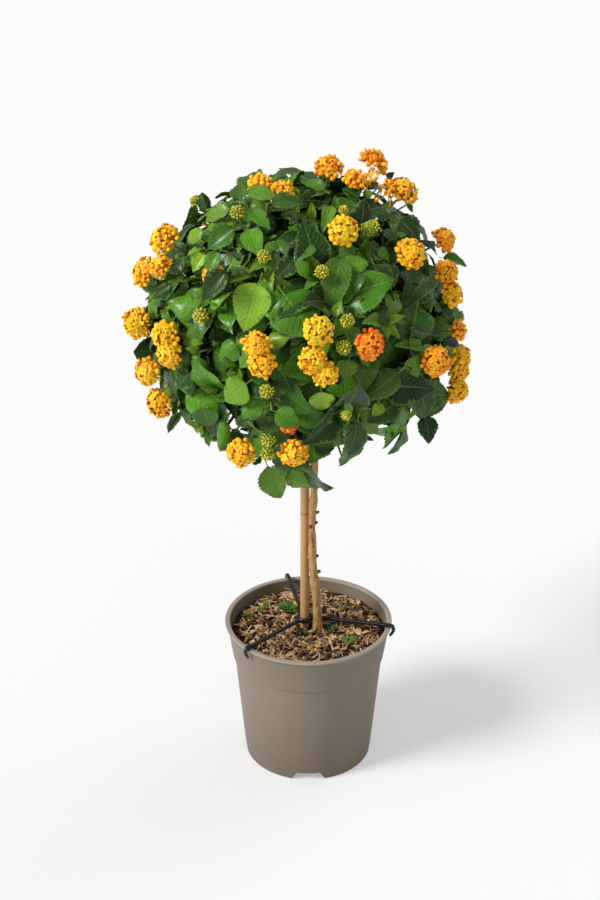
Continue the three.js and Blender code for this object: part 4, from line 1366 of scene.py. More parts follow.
# %% Crown: leaves that settle clear of each other
def laid_leaf(base, run, face, length, stem, young=0.0):
    """A leaf from its base along run, with its face square to that and towards the given way."""
    face = unit(face - run * np.dot(face, run))
    side = np.cross(run, face)
    return Named(base=base, run=run, face=face, side=side, length=length, stem=stem, young=young)


def leaf_frame(shoot, node, tilt, around, length, young=0.0):
    """A leaf at a shoot's node, tilted from the shoot's axis and turned round it."""
    first, second = square_axes(shoot.axis)
    outward = first * cos(around) + second * sin(around)
    run = unit(shoot.axis * cos(tilt) + outward * sin(tilt) - UP * POSE.droop)
    face = shoot.axis + UP * POSE.face_up
    return laid_leaf(HEART + shoot.axis * node, run, face, length, shoot.stem, young)


def along_leaf(leaf, share):
    return leaf.base + leaf.run * leaf.length * share


def leaf_outline(leaf):
    """Points of a leaf's edge and midrib, which stand for it where it is tested against others."""
    length, base = leaf.length, leaf.base
    rows = [(0, 0)] + [(share, width) for share, width in EDGE] + [(1, 0)]

    def at(share, across):
        rise = -LEAF.arch * share**2 * length + LEAF.fold * abs(across)
        point = base + leaf.run * (LEAF.stalk + share) * length + leaf.face * rise
        return point - UP * LEAF.sag * share**2 * length + leaf.side * across

    half = LEAF.half_width * length
    right = [at(share, width * half) for share, width in rows]
    left = [at(share, -width * half) for share, width in rows]
    return right, left


def touch_tree(points, faces):
    return BVHTree.FromPolygons([tuple(point) for point in points], faces)


def leaf_tree(leaf):
    right, left = leaf_outline(leaf)
    points = right + left[1:-1]
    count = len(right)
    around = list(range(count)) + list(range(len(points) - 1, count - 1, -1))
    return touch_tree(points, [(around[0], a, b) for a, b in zip(around[1:], around[2:])])


def meets_head_or_trunk(point, room, shaft_from=0):
    """Whether a point is in a head, with room round it, or in the shaft, which starts that far down."""
    if np.any(norm(HEAD_CENTRES - point, axis=1) < HEAD_RADII + room):
        return True
    from_shaft = hypot(point[0], point[1] - SHAFT.y)
    return point[2] < HEART[2] - shaft_from and from_shaft < SHAFT.radius


def is_clear(leaf, stem):
    for point in np.array(sum(leaf_outline(leaf), [])):
        if inside_by(point - HEART, stem) < 1 or meets_head_or_trunk(point, 1.5):
            return False
    return True


def settled_leaf(shoot, node, tilt, k, length, others):
    """The first pose of a leaf that is clear, as it swings aside, folds up and grows shorter."""
    for step in range(SETTLE.steps):
        folded = tilt * (1 - SETTLE.fold * step)
        shorter = length * (1 - SETTLE.shrink * step)
        for swing in SETTLE.swings:
            around = shoot.spin + k * pi / 2 + radians(swing)
            leaf = leaf_frame(shoot, node, folded, around, shorter)
            if not is_clear(leaf, shoot.stem):
                continue
            blade = leaf_tree(leaf)
            if not any(blade.overlap(other) for other in others):
                return leaf, blade
    return None, None


def twig_tree(shoot):
    line = [HEART + shoot.axis * SHOOT.start, HEART + shoot.axis * shoot_end(shoot)]
    return touch_tree(*tube(line, SHOOT.radius, 4, False))


def grow_leaves(stem):
    """The large leaves of one stem, shoot by shoot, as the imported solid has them."""
    own = [shoot for shoot in SHOOTS if shoot.stem == stem]
    twigs = [twig_tree(shoot) for shoot in own]
    blades, leaves = [], []
    for i, shoot in enumerate(own):
        others = [twig for j, twig in enumerate(twigs) if j != i]
        for pair in range(shoot.pairs):
            for k in (pair, pair + 2):
                node = shoot.node - pair * SHOOT.spacing
                tilt = radians(POSE.tilt + POSE.tilt_step * pair)
                length = shoot.length * (1 + POSE.growth * pair)
                leaf, blade = settled_leaf(shoot, node, tilt, k, length, others + blades)
                if leaf:
                    leaves.append(leaf)
                    blades.append(blade)
    return leaves


BIG_LEAVES = [leaf for stem in STEMS for leaf in grow_leaves(stem)]
print(len(BIG_LEAVES), "large leaves")

# %% [markdown]
# ## More shoots and smaller leaves
#
# A real crown is filled by many more leaves than its largest ones. Each shoot carries older pairs
# further in, and ends in a rosette of small folded ones or in a collar below its flowers. Between the
# shoots stand others, a little lower, spread evenly over the ball. They give the crown its depth:
# bright tips outside, and leaves in shade behind every gap.
#
# The outermost leaves of the show side are set one by one, and the smaller ones give way to them.
# The crown is no ball either: it swells in places, its lower edge dips, and a few thin places let
# one see through.

# %% Crown: the leaves between
def pair_turns(shoot, pair, random, loose, past=0.0):
    """How far round the shoot the two leaves of a pair stand: each pair is square to the last."""
    for k in (pair, pair + 2):
        yield shoot.spin + k * pi / 2 + random(-loose, loose) + past


def hanging_leaf(shoot, node, swing, lift, length, young, random):
    """A leaf on a side shoot: it hangs down over the crown, swung aside, with its face outwards."""
    axis = shoot.axis
    loose = jitter(random, 0.35) - UP
    down = unit(loose - axis * np.dot(axis, loose))
    run = unit(down * cos(swing) + np.cross(axis, down) * sin(swing) + axis * lift)
    face = axis + UP * 0.3 + jitter(random, 0.3)
    return laid_leaf(HEART + axis * node, run, face, length, shoot.stem, young)


def tip_rosette(shoot, tip, size, random, pairs=3):
    """Small young leaves at a shoot's tip, each pair square to the last, folded up round the bud."""
    leaves = []
    for pair in range(pairs):
        node, young = tip - 4 + 3 * pair, 0.45 + 0.2 * pair
        tilt = radians(52 - 13 * pair + random(-6, 6))
        for around in pair_turns(shoot, pair, random, 0.25, 0.8):
            length = size * (1.0 - 0.26 * pair) * random(0.85, 1.1)
            leaves.append(leaf_frame(shoot, node, tilt, around, length, young))
    return leaves


# The outermost leaves of the show side, listed one by one: stalk and tip in mm to the right of the
# heart and above it as the viewer sees them, greatest half width in mm, young, and for some the reach.
SHOWN_LEAVES = [
    (-40, 51, -61, -7, 19, 0.8), (-101, 17, -78, 61, 9, 0), (-97, 10, -77, 33, 5, 0.8),
    (-63, 101, -98, 80, 13, 0.1), (-98, 76, -113, 55, 8, 0.7), (-120, 49, -140, 70, 9, 0.1),
    (-131, 41, -156, 27, 8, 0), (-66, 121, -106, 112, 8, 0.5), (-63, 124, -65, 148, 9, 0.3),
    (-58, 126, -24, 141, 7, 0.2), (-53, 119, -34, 104, 8, 0), (-29, 117, -5, 133, 9, 0.1),
    (31, 136, 2, 153, 7, 0.3), (65, 127, 46, 145, 8, 0), (74, 129, 69, 141, 4, 0.7),
    (91, 150, 98, 159, 4, 0), (85, 99, 104, 87, 5, 0), (78, 79, 97, 68, 6, 0),
    (112, 126, 120, 117, 4, 0), (144, 72, 130, 89, 5, 0), (137, 58, 116, 24, 15, 0),
    (-101, 84, -119, 99, 9, 0.5), (-57, 119, -29, 128, 6, 0.5), (-56, 102, -44, 75, 11, 0),
    (-24, 75, -36, 84, 8, 0.3), (-24, 76, -12, 84, 8, 0.3), (-24, 75, -32, 58, 9, 0.1),
    (-23, 38, 14, -12, 24, 0), (46, 81, 29, 9, 14, 0.4), (62, 74, 56, 53, 11, 0.1),
    (75, 67, 90, 35, 15, 0.1), (88, 64, 102, 41, 11, 0.1), (63, 58, 59, 33, 7, 0),
    (16, 87, -5, 67, 10, 0.4), (-4, 68, 8, 50, 7, 0.2), (-4, 67, -24, 49, 9, 0.1),
    (34, 126, 26, 103, 7, 0.7), (34, 3, 44, 24, 5, 0.8), (101, 112, 128, 88, 15, 0.1),
    (146, 69, 176, 64, 7, 0.1), (97, 110, 77, 121, 8, 0), (124, 24, 119, -23, 22, 0.1),
    (132, -25, 107, -22, 7, 0.1), (110, -47, 72, -80, 14, 0.3), (117, -30, 126, -58, 9, 0.1),
    (127, -69, 135, -102, 13, 0), (131, -93, 138, -126, 11, 0), (108, -80, 74, -104, 12, 0),
    (89, -83, 77, -98, 6, 0.8), (148, 15, 163, -1, 9, 0), (145, -18, 172, -23, 6, 0),
    (53, -34, 48, -60, 9, 0.6), (22, -68, 24, -95, 13, 0.7), (11, -128, 37, -132, 10, 0.2),
    (62, -96, 54, -145, 12, 0), (-33, -87, -69, -101, 8, 0.7), (-51, -60, -81, -83, 14, 0.6),
    (-31, -91, 0, -108, 11, 0.0, 170), (84, 146, 100, 138, 6, 0.3), (68, 138, 84, 150, 5, 0.2),
    (100, 128, 86, 120, 6, 0.1), (-104, -4, -120, -14, 6, 0.4), (-82, 78, -101, 53, 8, 0.2, 180),
    (-71, 60, -104, 24, 11, 0.1, 182), (-60, 140, -26, 134, 8, 0.5, 178),
    (-36, 125, 3, 130, 9, 0.2, 180), (-37, -143, -20, -188, 14, 0.6), (-16, -150, 16, -174, 14, 0.65),
    (-125, -70, -85, -100, 16, 0), (-101, -85, -97, -112, 14, 0.2), (-119, -89, -144, -118, 5, 0.1),
    (-78, -97, -85, -137, 6, 0), (-112, -50, -131, -68, 10, 0.1), (-62, -19, -86, -40, 10, 0.1),
    (-105, -32, -107, -61, 7, 0.1),
]
SHOWN_REACH = 160
MOST_BACK = 0.4  # how steeply such a leaf leans away from the viewer at most
BLADE_SHARE = 1.16  # from the stalk's foot to the tip, as a share of the blade's length
EYE = np.array(CAMERA.place)
EYE_DOWN = radians(CAMERA.down)
AHEAD = np.array([0, cos(EYE_DOWN), -sin(EYE_DOWN)])
ABOVE = np.array([0, sin(EYE_DOWN), cos(EYE_DOWN)])


def as_seen(place):
    """How many mm right of the heart and above it the viewer sees a place, and how far before it."""
    offset, heart = place - EYE, HEART - EYE
    ahead, heart_ahead = np.dot(offset, AHEAD), np.dot(heart, AHEAD)
    scale = heart_ahead / ahead
    right, up = offset[0] * scale - heart[0], np.dot(offset, ABOVE) * scale - np.dot(heart, ABOVE)
    return np.array([right, up, heart_ahead - ahead])


def ray_to(right, up):
    return unit(HEART + np.array([right, 0, 0]) + ABOVE * up - EYE)


def seen_on_ball(right, up, reach):
    """The place on a ball round the heart that the viewer sees at this right and this up."""
    ray = ray_to(right, up)
    along = np.dot(HEART - EYE, ray)
    beside = norm(HEART - EYE - ray * along)
    return EYE + ray * (along - sqrt(max(reach**2 - beside**2, 0)))


def seen_before(right, up, before):
    """The place that the viewer sees there, so many mm nearer than the heart."""
    ray = ray_to(right, up)
    return EYE + ray * (np.dot(HEART - EYE, AHEAD) - before) / np.dot(ray, AHEAD)


SHOWN = []
for right, up, tip_right, tip_up, half, young, *rest in SHOWN_LEAVES:
    reach = rest[0] if rest else SHOWN_REACH
    base = seen_on_ball(right, up, reach)
    tip_before = as_seen(seen_on_ball(tip_right, tip_up, reach + 5))[2]
    least = as_seen(base)[2] - MOST_BACK * hypot(tip_right - right, tip_up - up)
    way = seen_before(tip_right, tip_up, max(tip_before, least)) - base
    length = norm(way) / BLADE_SHARE
    axis = unit(base - HEART)
    face = axis * 0.5 + UP * 0.25 - AHEAD * 0.8
    leaf = laid_leaf(base, unit(way), face, length, nearest_stem(axis), young)
    SHOWN.append(leaf | {"half": half})
SHOWN_SPOTS = [(leaf, as_seen(along_leaf(leaf, share))) for leaf in SHOWN for share in (0.45, 0.85)]
print(len(SHOWN), "leaves set by eye, the longest blade", round(max(leaf.length for leaf in SHOWN)), "mm")

# Where the crown stands out more or less than a ball does, as (turn, rise, spread, mm).
CROWN_REACH = 174
SWELLS = [
    (100, 40, 20, 14), (-18, 76, 26, -12), (-60, 52, 22, -10), (-80, -14, 14, 6),
]
# Thin places that one sees the wall behind through: mm right of the heart and above it, and radius.
THIN_PLACES = [(-76, -97, 12), (38, -123, 16), (114, -98, 6), (113, -84, 5)]


def crown_reach(axis):
    away = [(degrees_apart(direction(turn, rise), axis) / spread, mm) for turn, rise, spread, mm in SWELLS]
    return CROWN_REACH + sum(mm * exp(-(share**2)) for share, mm in away)


def hides_shown_leaf(leaf):
    """Whether a small leaf would cover one of the leaves listed one by one, or close a thin place."""
    spots = [as_seen(along_leaf(leaf, share)) for share in (0.3, 0.65, 1.0)]
    middle = spots[1]
    for shown, spot in SHOWN_SPOTS:
        apart = hypot(*(middle - spot)[:2])
        if apart < 0.24 * shown.length + 0.3 * leaf.length and middle[2] > spot[2] - 6:
            return True
    for right, up, radius in THIN_PLACES:
        if any(hypot(spot[0] - right, spot[1] - up) < radius + 4 for spot in spots):
            return True
    return False


# The crown's lower edge is about level, and dips where shoots hang down at the front.
HEM = Named(height=440, dip=30, turn=-4, spread=34)


def hem_height(place):
    offset = place - HEART
    turn = degrees(atan2(offset[0], -offset[1])) - HEM.turn
    return HEM.height - HEM.dip * exp(-((turn / HEM.spread) ** 2))


def is_free(leaf):
    """Whether a small leaf keeps clear of the heads and the trunk, and inside the crown's outline."""
    if any(meets_head_or_trunk(along_leaf(leaf, share), 0.5, 40) for share in (0.55, 0.85, 1.15)):
        return False
    tip = along_leaf(leaf, 1.15)
    is_inside = norm(tip - HEART) < crown_reach(unit(tip - HEART))
    return tip[2] > hem_height(tip) and is_inside and not hides_shown_leaf(leaf)


def deeper_pairs(shoot, random):
    """Older pairs of leaves on a shoot, further in and standing out more."""
    leaves = []
    nodes = [shoot.node - shoot.pairs * SHOOT.spacing + 4, *SHOOT.deep_nodes]
    for pair, node in enumerate(nodes):
        for around in pair_turns(shoot, pair + shoot.pairs, random, 0.4):
            tilt = radians(random(60, 92))
            length = shoot.length * random(0.72, 1.0)
            leaves.append(leaf_frame(shoot, node + random(-5, 5), tilt, around, length))
    return leaves


INNER = Named(spread=13.0, lowest=-0.86, apart=5.5, reach=(122, 152), length=(30, 44), pairs=4)
INNER_SHOOTS = []


def grow_inner_shoots():
    """Shoots between the large ones, lower than them, each with a few pairs and a rosette."""
    random = Dice(919)
    leaves = []
    for even in even_directions(INNER.spread):
        axis = unit(even + jitter(random, 0.09))
        reach, size, spin = random(*INNER.reach), random(*INNER.length), random(0, 180)
        is_taken = any(degrees_apart(axis, shoot.axis) < INNER.apart for shoot in SHOOTS)
        if is_taken or axis[2] < INNER.lowest:
            continue
        shoot = shoot_of(axis, reach, spin, size)
        INNER_SHOOTS.append(shoot)
        for pair in range(INNER.pairs):
            for around, hand in zip(pair_turns(shoot, pair, random, 0.3), (1, -1)):
                tilt = radians(54 + 12 * pair + random(-9, 9))
                length = size * random(0.85, 1.12) * (0.9 if pair == 0 else 1.0)
                swing = hand * radians(random(8, 50) + (30 if pair % 2 else 0))
                young, lift = 0.35 if pair == 0 else 0.0, 0.55 - 0.1 * pair
                if axis[2] > 0.8 or random() < 0.2:
                    leaf = leaf_frame(shoot, reach - 13 * pair, tilt, around, length, young)
                else:
                    leaf = hanging_leaf(shoot, reach - 11 * pair, swing, lift, length, young, random)
                leaves.append(leaf)
        leaves += tip_rosette(shoot, reach + 4, size * 0.55, random, 2)
    return leaves


def collar(shoot, random):
    """Two pairs of leaves close below a flower head."""
    leaves = []
    reach = shoot.head.reach - shoot.head.radius
    for pair, (below, length) in enumerate([(7, 27), (17, 36)]):
        for around in pair_turns(shoot, pair + 1, random, 0.4):
            tilt = radians(random(58, 84))
            size, young = length * random(0.85, 1.15), 0.3 if pair == 0 else 0.0
            leaves.append(leaf_frame(shoot, reach - below, tilt, around, size, young))
    return leaves


def grow_small_leaves():
    random = Dice(505)
    leaves = []
    for shoot in SHOOTS:
        leaves += deeper_pairs(shoot, random)
        if shoot.head:
            leaves += collar(shoot, random)
        else:
            leaves += tip_rosette(shoot, shoot.node + 6, shoot.length * 0.5, random)
    return leaves


SMALL_LEAVES = [leaf for leaf in grow_inner_shoots() + grow_small_leaves() if is_free(leaf)]
LEAVES = BIG_LEAVES + SHOWN + SMALL_LEAVES
print(len(INNER_SHOOTS), "inner shoots,", len(SMALL_LEAVES), "smaller leaves,", len(LEAVES), "in all")

# %% [markdown]
# ## A leaf
#
# A lantana leaf is oval with a short stalk and a pointed tip. Its edge is toothed, its halves fold up
# from the midrib, and the blade arches back. It is built for a unit length in kinds that differ in
# width, fold, arch, twist and waviness: broad grown ones, narrow young ones, plain ones for the
# shade, and the grown ones again with more teeth for the largest leaves. A blade is a thin closed
# lens, an upper and an under side that share the edge. Its points carry how far along and across the
# blade they are, because the veins are drawn from those two numbers.

# %% Leaf: a unit blade
BLADE_WIDTHS = [
    (0, 0.08), (0.06, 0.52), (0.15, 0.84), (0.28, 1.0), (0.42, 0.99), (0.57, 0.86), (0.72, 0.63),
    (0.87, 0.34), (1, 0.0),
]
BLADE_THICK = 0.014
BLADE_SAG = 0.06
STALK_VALUE = -0.2  # what a stalk's points carry as their place along the blade


def half_width(share):
    shares, widths = zip(*BLADE_WIDTHS)
    return float(np.interp(share, shares, widths))


def blade_mesh(name, rows, half, fold, arch, twist, wave, curl, phase):
    """A closed leaf of unit length along Y, with its face along Z. A blade of few rows is toothless."""
    is_plain = rows < 8
    columns = () if is_plain else (0.52,)
    shares = [0, 0.05] + list(np.linspace(0.15, 1, rows - 2))
    last = len(shares) - 1
    points, alongs, acrosses = [], [], []

    def put(share, side, lift=0.0):
        """side runs from -1 at the left edge to 1 at the right one, and a little past at a tooth."""
        width = half * half_width(min(share, 1.0))
        across = side * width
        rise = fold * abs(across) - arch * share**2 - curl * abs(side) ** 3 * width * 2
        rise += wave * abs(side) * sin(share * 15 + phase + (1.5 if side > 0 else 0))
        turn = twist * share
        x = across * cos(turn) - rise * sin(turn) * 0.5
        z = rise + across * sin(turn)
        points.append((x, LEAF.stalk + share - 0.12 * arch * share**2, z + lift - BLADE_SAG * share**2))
        alongs.append(share)
        acrosses.append(side)
        return len(points) - 1

    across, teeth = {}, {}
    for i, share in enumerate(shares[:-1]):
        for level, sign in enumerate((1, -1)):
            middle = put(share, 0, sign * BLADE_THICK * 0.6)
            lift = sign * BLADE_THICK * 0.25 + 0.01
            for side in (1, -1):
                across[level, side, i] = [middle] + [put(share, part * side, lift) for part in columns]
        for side in (1, -1):
            edge = put(share, (0.95 if i else 1.0) * side)
            for level in (0, 1):
                across[level, side, i].append(edge)
            if not is_plain:
                teeth[side, i] = put(share + 0.42 * (shares[i + 1] - share), 1.06 * side)
    tip = put(1.0, 0)
    faces, unders = [], []
    for level in (0, 1):
        for side in (1, -1):
            for i in range(last):
                here = across[level, side, i]
                ahead = across.get((level, side, i + 1), [tip] * len(here))
                for column in range(len(here) - 1):
                    face = [here[column], here[column + 1], ahead[column + 1], ahead[column]]
                    if column == len(columns) and not is_plain:
                        face.insert(2, teeth[side, i])
                    face = list(dict.fromkeys(face))
                    if (side < 0) != (level == 1):
                        face.reverse()
                    faces.append(tuple(face))
                    unders.append(float(level))
    for side in (1, -1):
        above, below = across[0, side, 0], across[1, side, 0]
        front = [above[0], *below, *reversed(above[1:-1])]
        faces.append(tuple(front if side > 0 else reversed(front)))
        unders.append(0.0)
    shape = Shape("along", "across")
    shape.add(points, faces, along=alongs, across=acrosses)
    stalk_line = [(0, -0.02, 0), (0, 0.1, -0.008), (0, LEAF.stalk + 0.03, 0.0)]
    shape.add(*tube(stalk_line, [0.022, 0.016, 0.016], 3, False), along=STALK_VALUE)
    mesh = as_kind(shape.mesh(name))
    under = mesh.attributes.new("under", "FLOAT", "FACE")
    under.data.foreach_set("value", unders + [0.0] * (len(mesh.polygons) - len(unders)))
    return mesh


# Half width, fold, arch, twist, wave and curl of each kind, as shares of its length, and a phase.
KINDS = {
    "grown": [
        (0.36, 0.34, 0.2, 0, 0.022, 0.06, 0), (0.39, 0.24, 0.13, 0, 0.032, 0.06, 1),
        (0.35, 0.5, 0.26, 0, 0.028, 0.06, 2), (0.37, 0.3, 0.31, 0.4, 0.022, 0.06, 3),
        (0.35, 0.42, 0.22, -0.45, 0.022, 0.06, 4), (0.40, 0.12, 0.08, 0, 0.036, 0.24, 5),
        (0.35, 0.68, 0.16, 0.25, 0.026, 0.06, 0), (0.34, 0.32, 0.39, 0, 0.03, 0.2, 6),
    ],
    "young": [
        (0.26, 0.7, 0.2, 0, 0.03, 0.06, 1.5),
        (0.24, 0.9, -0.1, 0.5, 0.03, 0.06, 0.5),
        (0.28, 0.6, 0.3, -0.4, 0.035, 0.06, 2.5),
    ],
    "shaded": [
        (0.36, 0.25, 0.18, 0, 0, 0.06, 0),
        (0.34, 0.35, 0.26, 0.3, 0, 0.06, 0),
        (0.37, 0.15, 0.12, -0.3, 0, 0.06, 0),
    ],
}
KINDS["large"] = KINDS["grown"]
BLADE_ROWS = {"grown": 9, "young": 9, "shaded": 5, "large": 14}
USUAL_HALF = 0.35  # half the width of most kinds, as a share of the length


def leaf_kinds():
    """The kinds and, for each sort of leaf, the range that its numbers are drawn from."""
    meshes, ranges = [], {}
    for sort, kinds in KINDS.items():
        ranges[sort] = (len(meshes), len(meshes) + len(kinds))
        meshes += [blade_mesh("leaf_kind", BLADE_ROWS[sort], *kind) for kind in kinds]
    return kinds_collection("leaf", meshes), ranges


print("leaf kinds:", {sort: len(rows) for sort, rows in KINDS.items()})

# %% [markdown]
# ### Leaf: finish
#
# The upper side is a deep yellowish green with a soft shine, quilted between sunken veins. The
# midrib and the side veins are lighter, the rim is lighter as a painted highlight, young leaves are
# yellow-green, and a dead scrap is straw yellow. The under side is pale and dull. Side veins leave the
# midrib at even steps and sweep towards the tip: that is one number, the place along the blade less a
# share of the distance from the midrib, repeated nine times. The same lines drive the bump, so the
# light picks them out.

# %% Leaf: veins, quilting and green
SIDE_VEINS = 9

leafy = Finish("lantana_leaf")
along, across = leafy.attribute("along"), leafy.attribute("across")
tint, young = leafy.attribute("tint"), leafy.attribute("young")
under = leafy.attribute("under")
out = leafy.one_math("ABSOLUTE", across)
phase = (along - out * 0.24 - out * out * 0.08) * SIDE_VEINS
from_vein = leafy.one_math("ABSOLUTE", leafy.one_math("FRACT", phase) - 0.5)
side_vein = leafy.between(from_vein, 0.40, 0.5) * (0.6 - out * 0.4)
midrib = 1 - leafy.between(out, 0.02, 0.08)
veins = leafy.one_math("MAXIMUM", side_vein, midrib)
blotch = leafy.noise(9, detail=2.0)
fine = leafy.noise(1.1, detail=2.0)
green = leafy.ramp(
    tint * 0.7 + blotch * 0.3,
    (0.15, 16, 48, 4),
    (0.5, 38, 83, 8),
    (0.85, 84, 141, 22),
    (1.0, 118, 172, 42),
)
green = leafy.layers(
    green,
    (leafy.mix((92, 148, 28), (154, 192, 50), tint), leafy.between(young, 0.0, 1.0)),
    ((146, 176, 84), veins * 0.28),
    # painted highlight: the outer rim of every blade is lighter
    ((146, 176, 82), leafy.between(out, 0.84, 1.02) * 0.55),
    (leafy.mix((88, 120, 66), (122, 148, 92), veins), under * 0.8),
    ((112, 140, 66), leafy.one_math("LESS_THAN", along, STALK_VALUE / 2)),
    ((212, 170, 62), leafy.between(young, 1.4, 1.6)),
)
leafy.set(Base_Color=green, Roughness=0.34 + under * 0.36 + fine * 0.2)
leafy.set(Coat_Weight=0.42 - under * 0.42, Coat_Roughness=0.27, Specular_IOR_Level=0.14)
quilt = leafy.one_math("SINE", (from_vein + 0.02) * 3.14) * (1 - out * 0.3)
pucker = leafy.cells(2.6, feature="SMOOTH_F1")
leafy.bump(quilt * 0.6 - veins * 0.7 - pucker * 0.5 + fine * 0.2, 0.9, 0.9)

LEAF_SHARP = 80  # a leaf's faces meet by more than this only at its edge
SHADED_WITHIN = 122
LARGE_FROM = 42


def sort_of(leaf):
    """Which sort of blade a leaf takes: a leaf deep in the crown takes a plain one."""
    if norm(along_leaf(leaf, 0.7) - HEART) < SHADED_WITHIN:
        return "shaded"
    if leaf.young > 0.4 and "half" not in leaf:
        return "young"
    return "large" if leaf.length > LARGE_FROM else "grown"


kinds, ranges = leaf_kinds()
random = Dice(2718)
for stem in STEMS:
    copies = Copies("tint", "young")
    for leaf in LEAVES:
        if leaf.stem != stem:
            continue
        pick = int(random(*ranges[sort_of(leaf)]))
        axes = (leaf.side, leaf.run, leaf.face)
        width = random(0.9, 1.14)
        if "half" in leaf:
            width = leaf.half / leaf.length / USUAL_HALF
        size = (leaf.length * width, leaf.length, leaf.length)
        fresher = max(0.0, random(-1.2, 0.4)) * (0.3 if leaf.length > LARGE_FROM else 1.0)
        young = leaf.young * random(0.6, 1.1) + fresher
        young = leaf.young if "half" in leaf else young
        copies.add(leaf.base, axes, size, pick, tint=random(), young=young)
    piece = copies.piece(f"leaves_{stem + 1:02d}", kinds, leafy, LEAF_SHARP)
    finish_piece(piece, None, "leaf", stem_node(stem))
drop_kinds(kinds)

# %% [markdown]
# ## Branches and twigs
#
# Inside the crown the trunk divides into the thirteen main stems, and these into twigs. Each branch
# leaves the heart along its stem's axis and bends outwards to the foot of its shoot, thinning from
# about 3.5 mm in radius to 1 mm. Old wood is brown and the outer ends are green. Bud heads have
# shoots of their own, and a leaf that stands out before the others gets a long stalk.

# %% Twigs
# Bud heads on shoots of their own, as mm right of the heart and above it, and the bud's radius.
BUD_REACH = 148
BUD_LIFT = 10  # how far a bud head has grown out past its twig's end
BUD_SHOOTS = [
    (77, 101, 6), (46, 118, 4), (50, 2, 6), (46, -26, 6.5), (49, -97, 4.5), (-33, -123, 6.5),
    (-34, -138, 6),
]
for right, up, radius in BUD_SHOOTS:
    bud_shoot = shoot_of(unit(seen_on_ball(right, up, BUD_REACH + 14 + BUD_LIFT) - HEART), BUD_REACH, 0, 0)
    SHOOTS.append(bud_shoot | {"bud": radius, "head": None, "node": BUD_REACH, "pairs": 0})


def twig_line(shoot):
    """A twig's way from the heart, along its stem and out to its tip or its flower head."""
    axis, stem_axis = shoot.axis, STEM_AXES[shoot.stem]
    end = shoot_end(shoot) + (BUD_LIFT if shoot.bud else 0)
    line = [HEART + stem_axis * 6, HEART + unit(stem_axis * 2 + axis) * 30]
    line += [HEART + unit(stem_axis + axis) * 58, HEART + axis * SHOOT.start]
    if shoot.head:
        return line + [HEART + axis * (end - 12), head_foot(shoot.head)]
    return line + [HEART + axis * end]


def long_stalk(leaf):
    """The way of the stalk that carries a leaf which stands out before the others."""
    axis = unit(leaf.base - HEART)
    knee = leaf.base - axis * 20 - leaf.run * 3
    return smooth_line([HEART + axis * 110, knee, leaf.base + leaf.run * 2], 9)


shape = Shape("green")
random = Dice(88)
for shoot in SHOOTS + INNER_SHOOTS:
    line = smooth_line(twig_line(shoot), 15)
    thick = random(3.0, 3.8)
    radii = np.interp(np.linspace(0, 1, 15), [0, 0.4, 0.7, 1], [thick, 2.3, 1.5, 1.0])
    points, faces = tube(line, radii, 6)
    reach = norm(np.array(points) - HEART, axis=1)
    green = np.clip((reach - 70) / 45, 0, 1)
    shape.add(knotty(points, 0.35, 16, 31), faces, green=green)
for leaf in SHOWN:
    if norm(leaf.base - HEART) > SHOWN_REACH + 5:
        points, faces = tube(long_stalk(leaf), np.linspace(1.3, 0.8, 9), 6)
        shape.add(points, faces, green=1.0)
twigs = shape.piece("twigs")

twig = Finish("twig", Roughness=0.7)
grain = twig.noise(1.5, detail=3.0)
brown = twig.mix((112, 82, 54), (164, 128, 88), grain)
green = twig.mix((86, 112, 52), (122, 146, 74), grain)
twig.set(Base_Color=twig.mix(brown, green, twig.attribute("green")))
twig.bump(grain, 0.3)

finish_piece(twigs, twig, "leaf", *[stem_node(stem) for stem in STEMS])

# %% [markdown]
# ## Florets
#
# A flower head is a dome of 25 to 50 tube florets. Those near the middle are open, with four rounded
# lobes, and more of those at the edge are still closed balls on their tubes. The kinds are small
# meshes of a few dozen faces: open, half open, closed, bud and the head's core, which is dark as the
# painted shade between the florets. Each copy carries how ripe it is, and points carry how near the
# throat they are, which is darker.

# %% Floret kinds
LOBES = 4


def lobe_ring(radius, lift, notch, cup):
    """Three points for each lobe: a notch and two rounded corners. cup lifts the lobes' ends."""
    ring = []
    for lobe in range(LOBES):
        for angle, share, rise in ((-45, notch, 0), (-19, 1, cup), (19, 1, cup * 0.7)):
            turn = radians(90 * lobe + angle)
            ring.append((radius * share * cos(turn), radius * share * sin(turn), lift + rise))
    return ring


def square_ring(radius, z):
    turns = [radians(90 * i - 45) for i in range(LOBES)]
    return [(radius * cos(turn), radius * sin(turn), z) for turn in turns]


def open_floret(name, radius, cup, puff):
    """A floret of unit size: a throat, four lobes that puff up between throat and edge, and a tube."""
    points = [(0, 0, -0.22)] + square_ring(0.2, -0.04)
    points += lobe_ring(0.62 * radius, puff, 0.78, 0.0) + lobe_ring(radius, 0.0, 0.62, cup)
    points += square_ring(0.17, -0.3) + square_ring(0.13, -1.4)
    throat = [1.0] + [0.75] * 4 + [0.2] * 12 + [0.0] * 12 + [0.6] * 8
    inner, middle, edge, tube_top, tube_foot = 1, 5, 17, 29, 33
    faces = [(0, inner + i, inner + (i + 1) % 4) for i in range(4)]
    for lobe in range(LOBES):
        after = (lobe + 1) % 4
        mids = [middle + 3 * lobe + step for step in range(3)] + [middle + 3 * after]
        edges = [edge + 3 * lobe + step for step in range(3)] + [edge + 3 * after]
        faces.append((inner + lobe, *mids, inner + after))
        faces += [(mids[i], edges[i], edges[i + 1], mids[i + 1]) for i in range(3)]
        faces.append((tube_top + after, *reversed(edges), tube_top + lobe))
        faces.append((tube_top + lobe, tube_foot + lobe, tube_foot + after, tube_top + after))
    faces.append(tuple(tube_foot + i for i in range(4)))
    mesh = plain_mesh(name, points, faces, throat=throat)
    face_outwards(mesh)
    return as_kind(mesh)


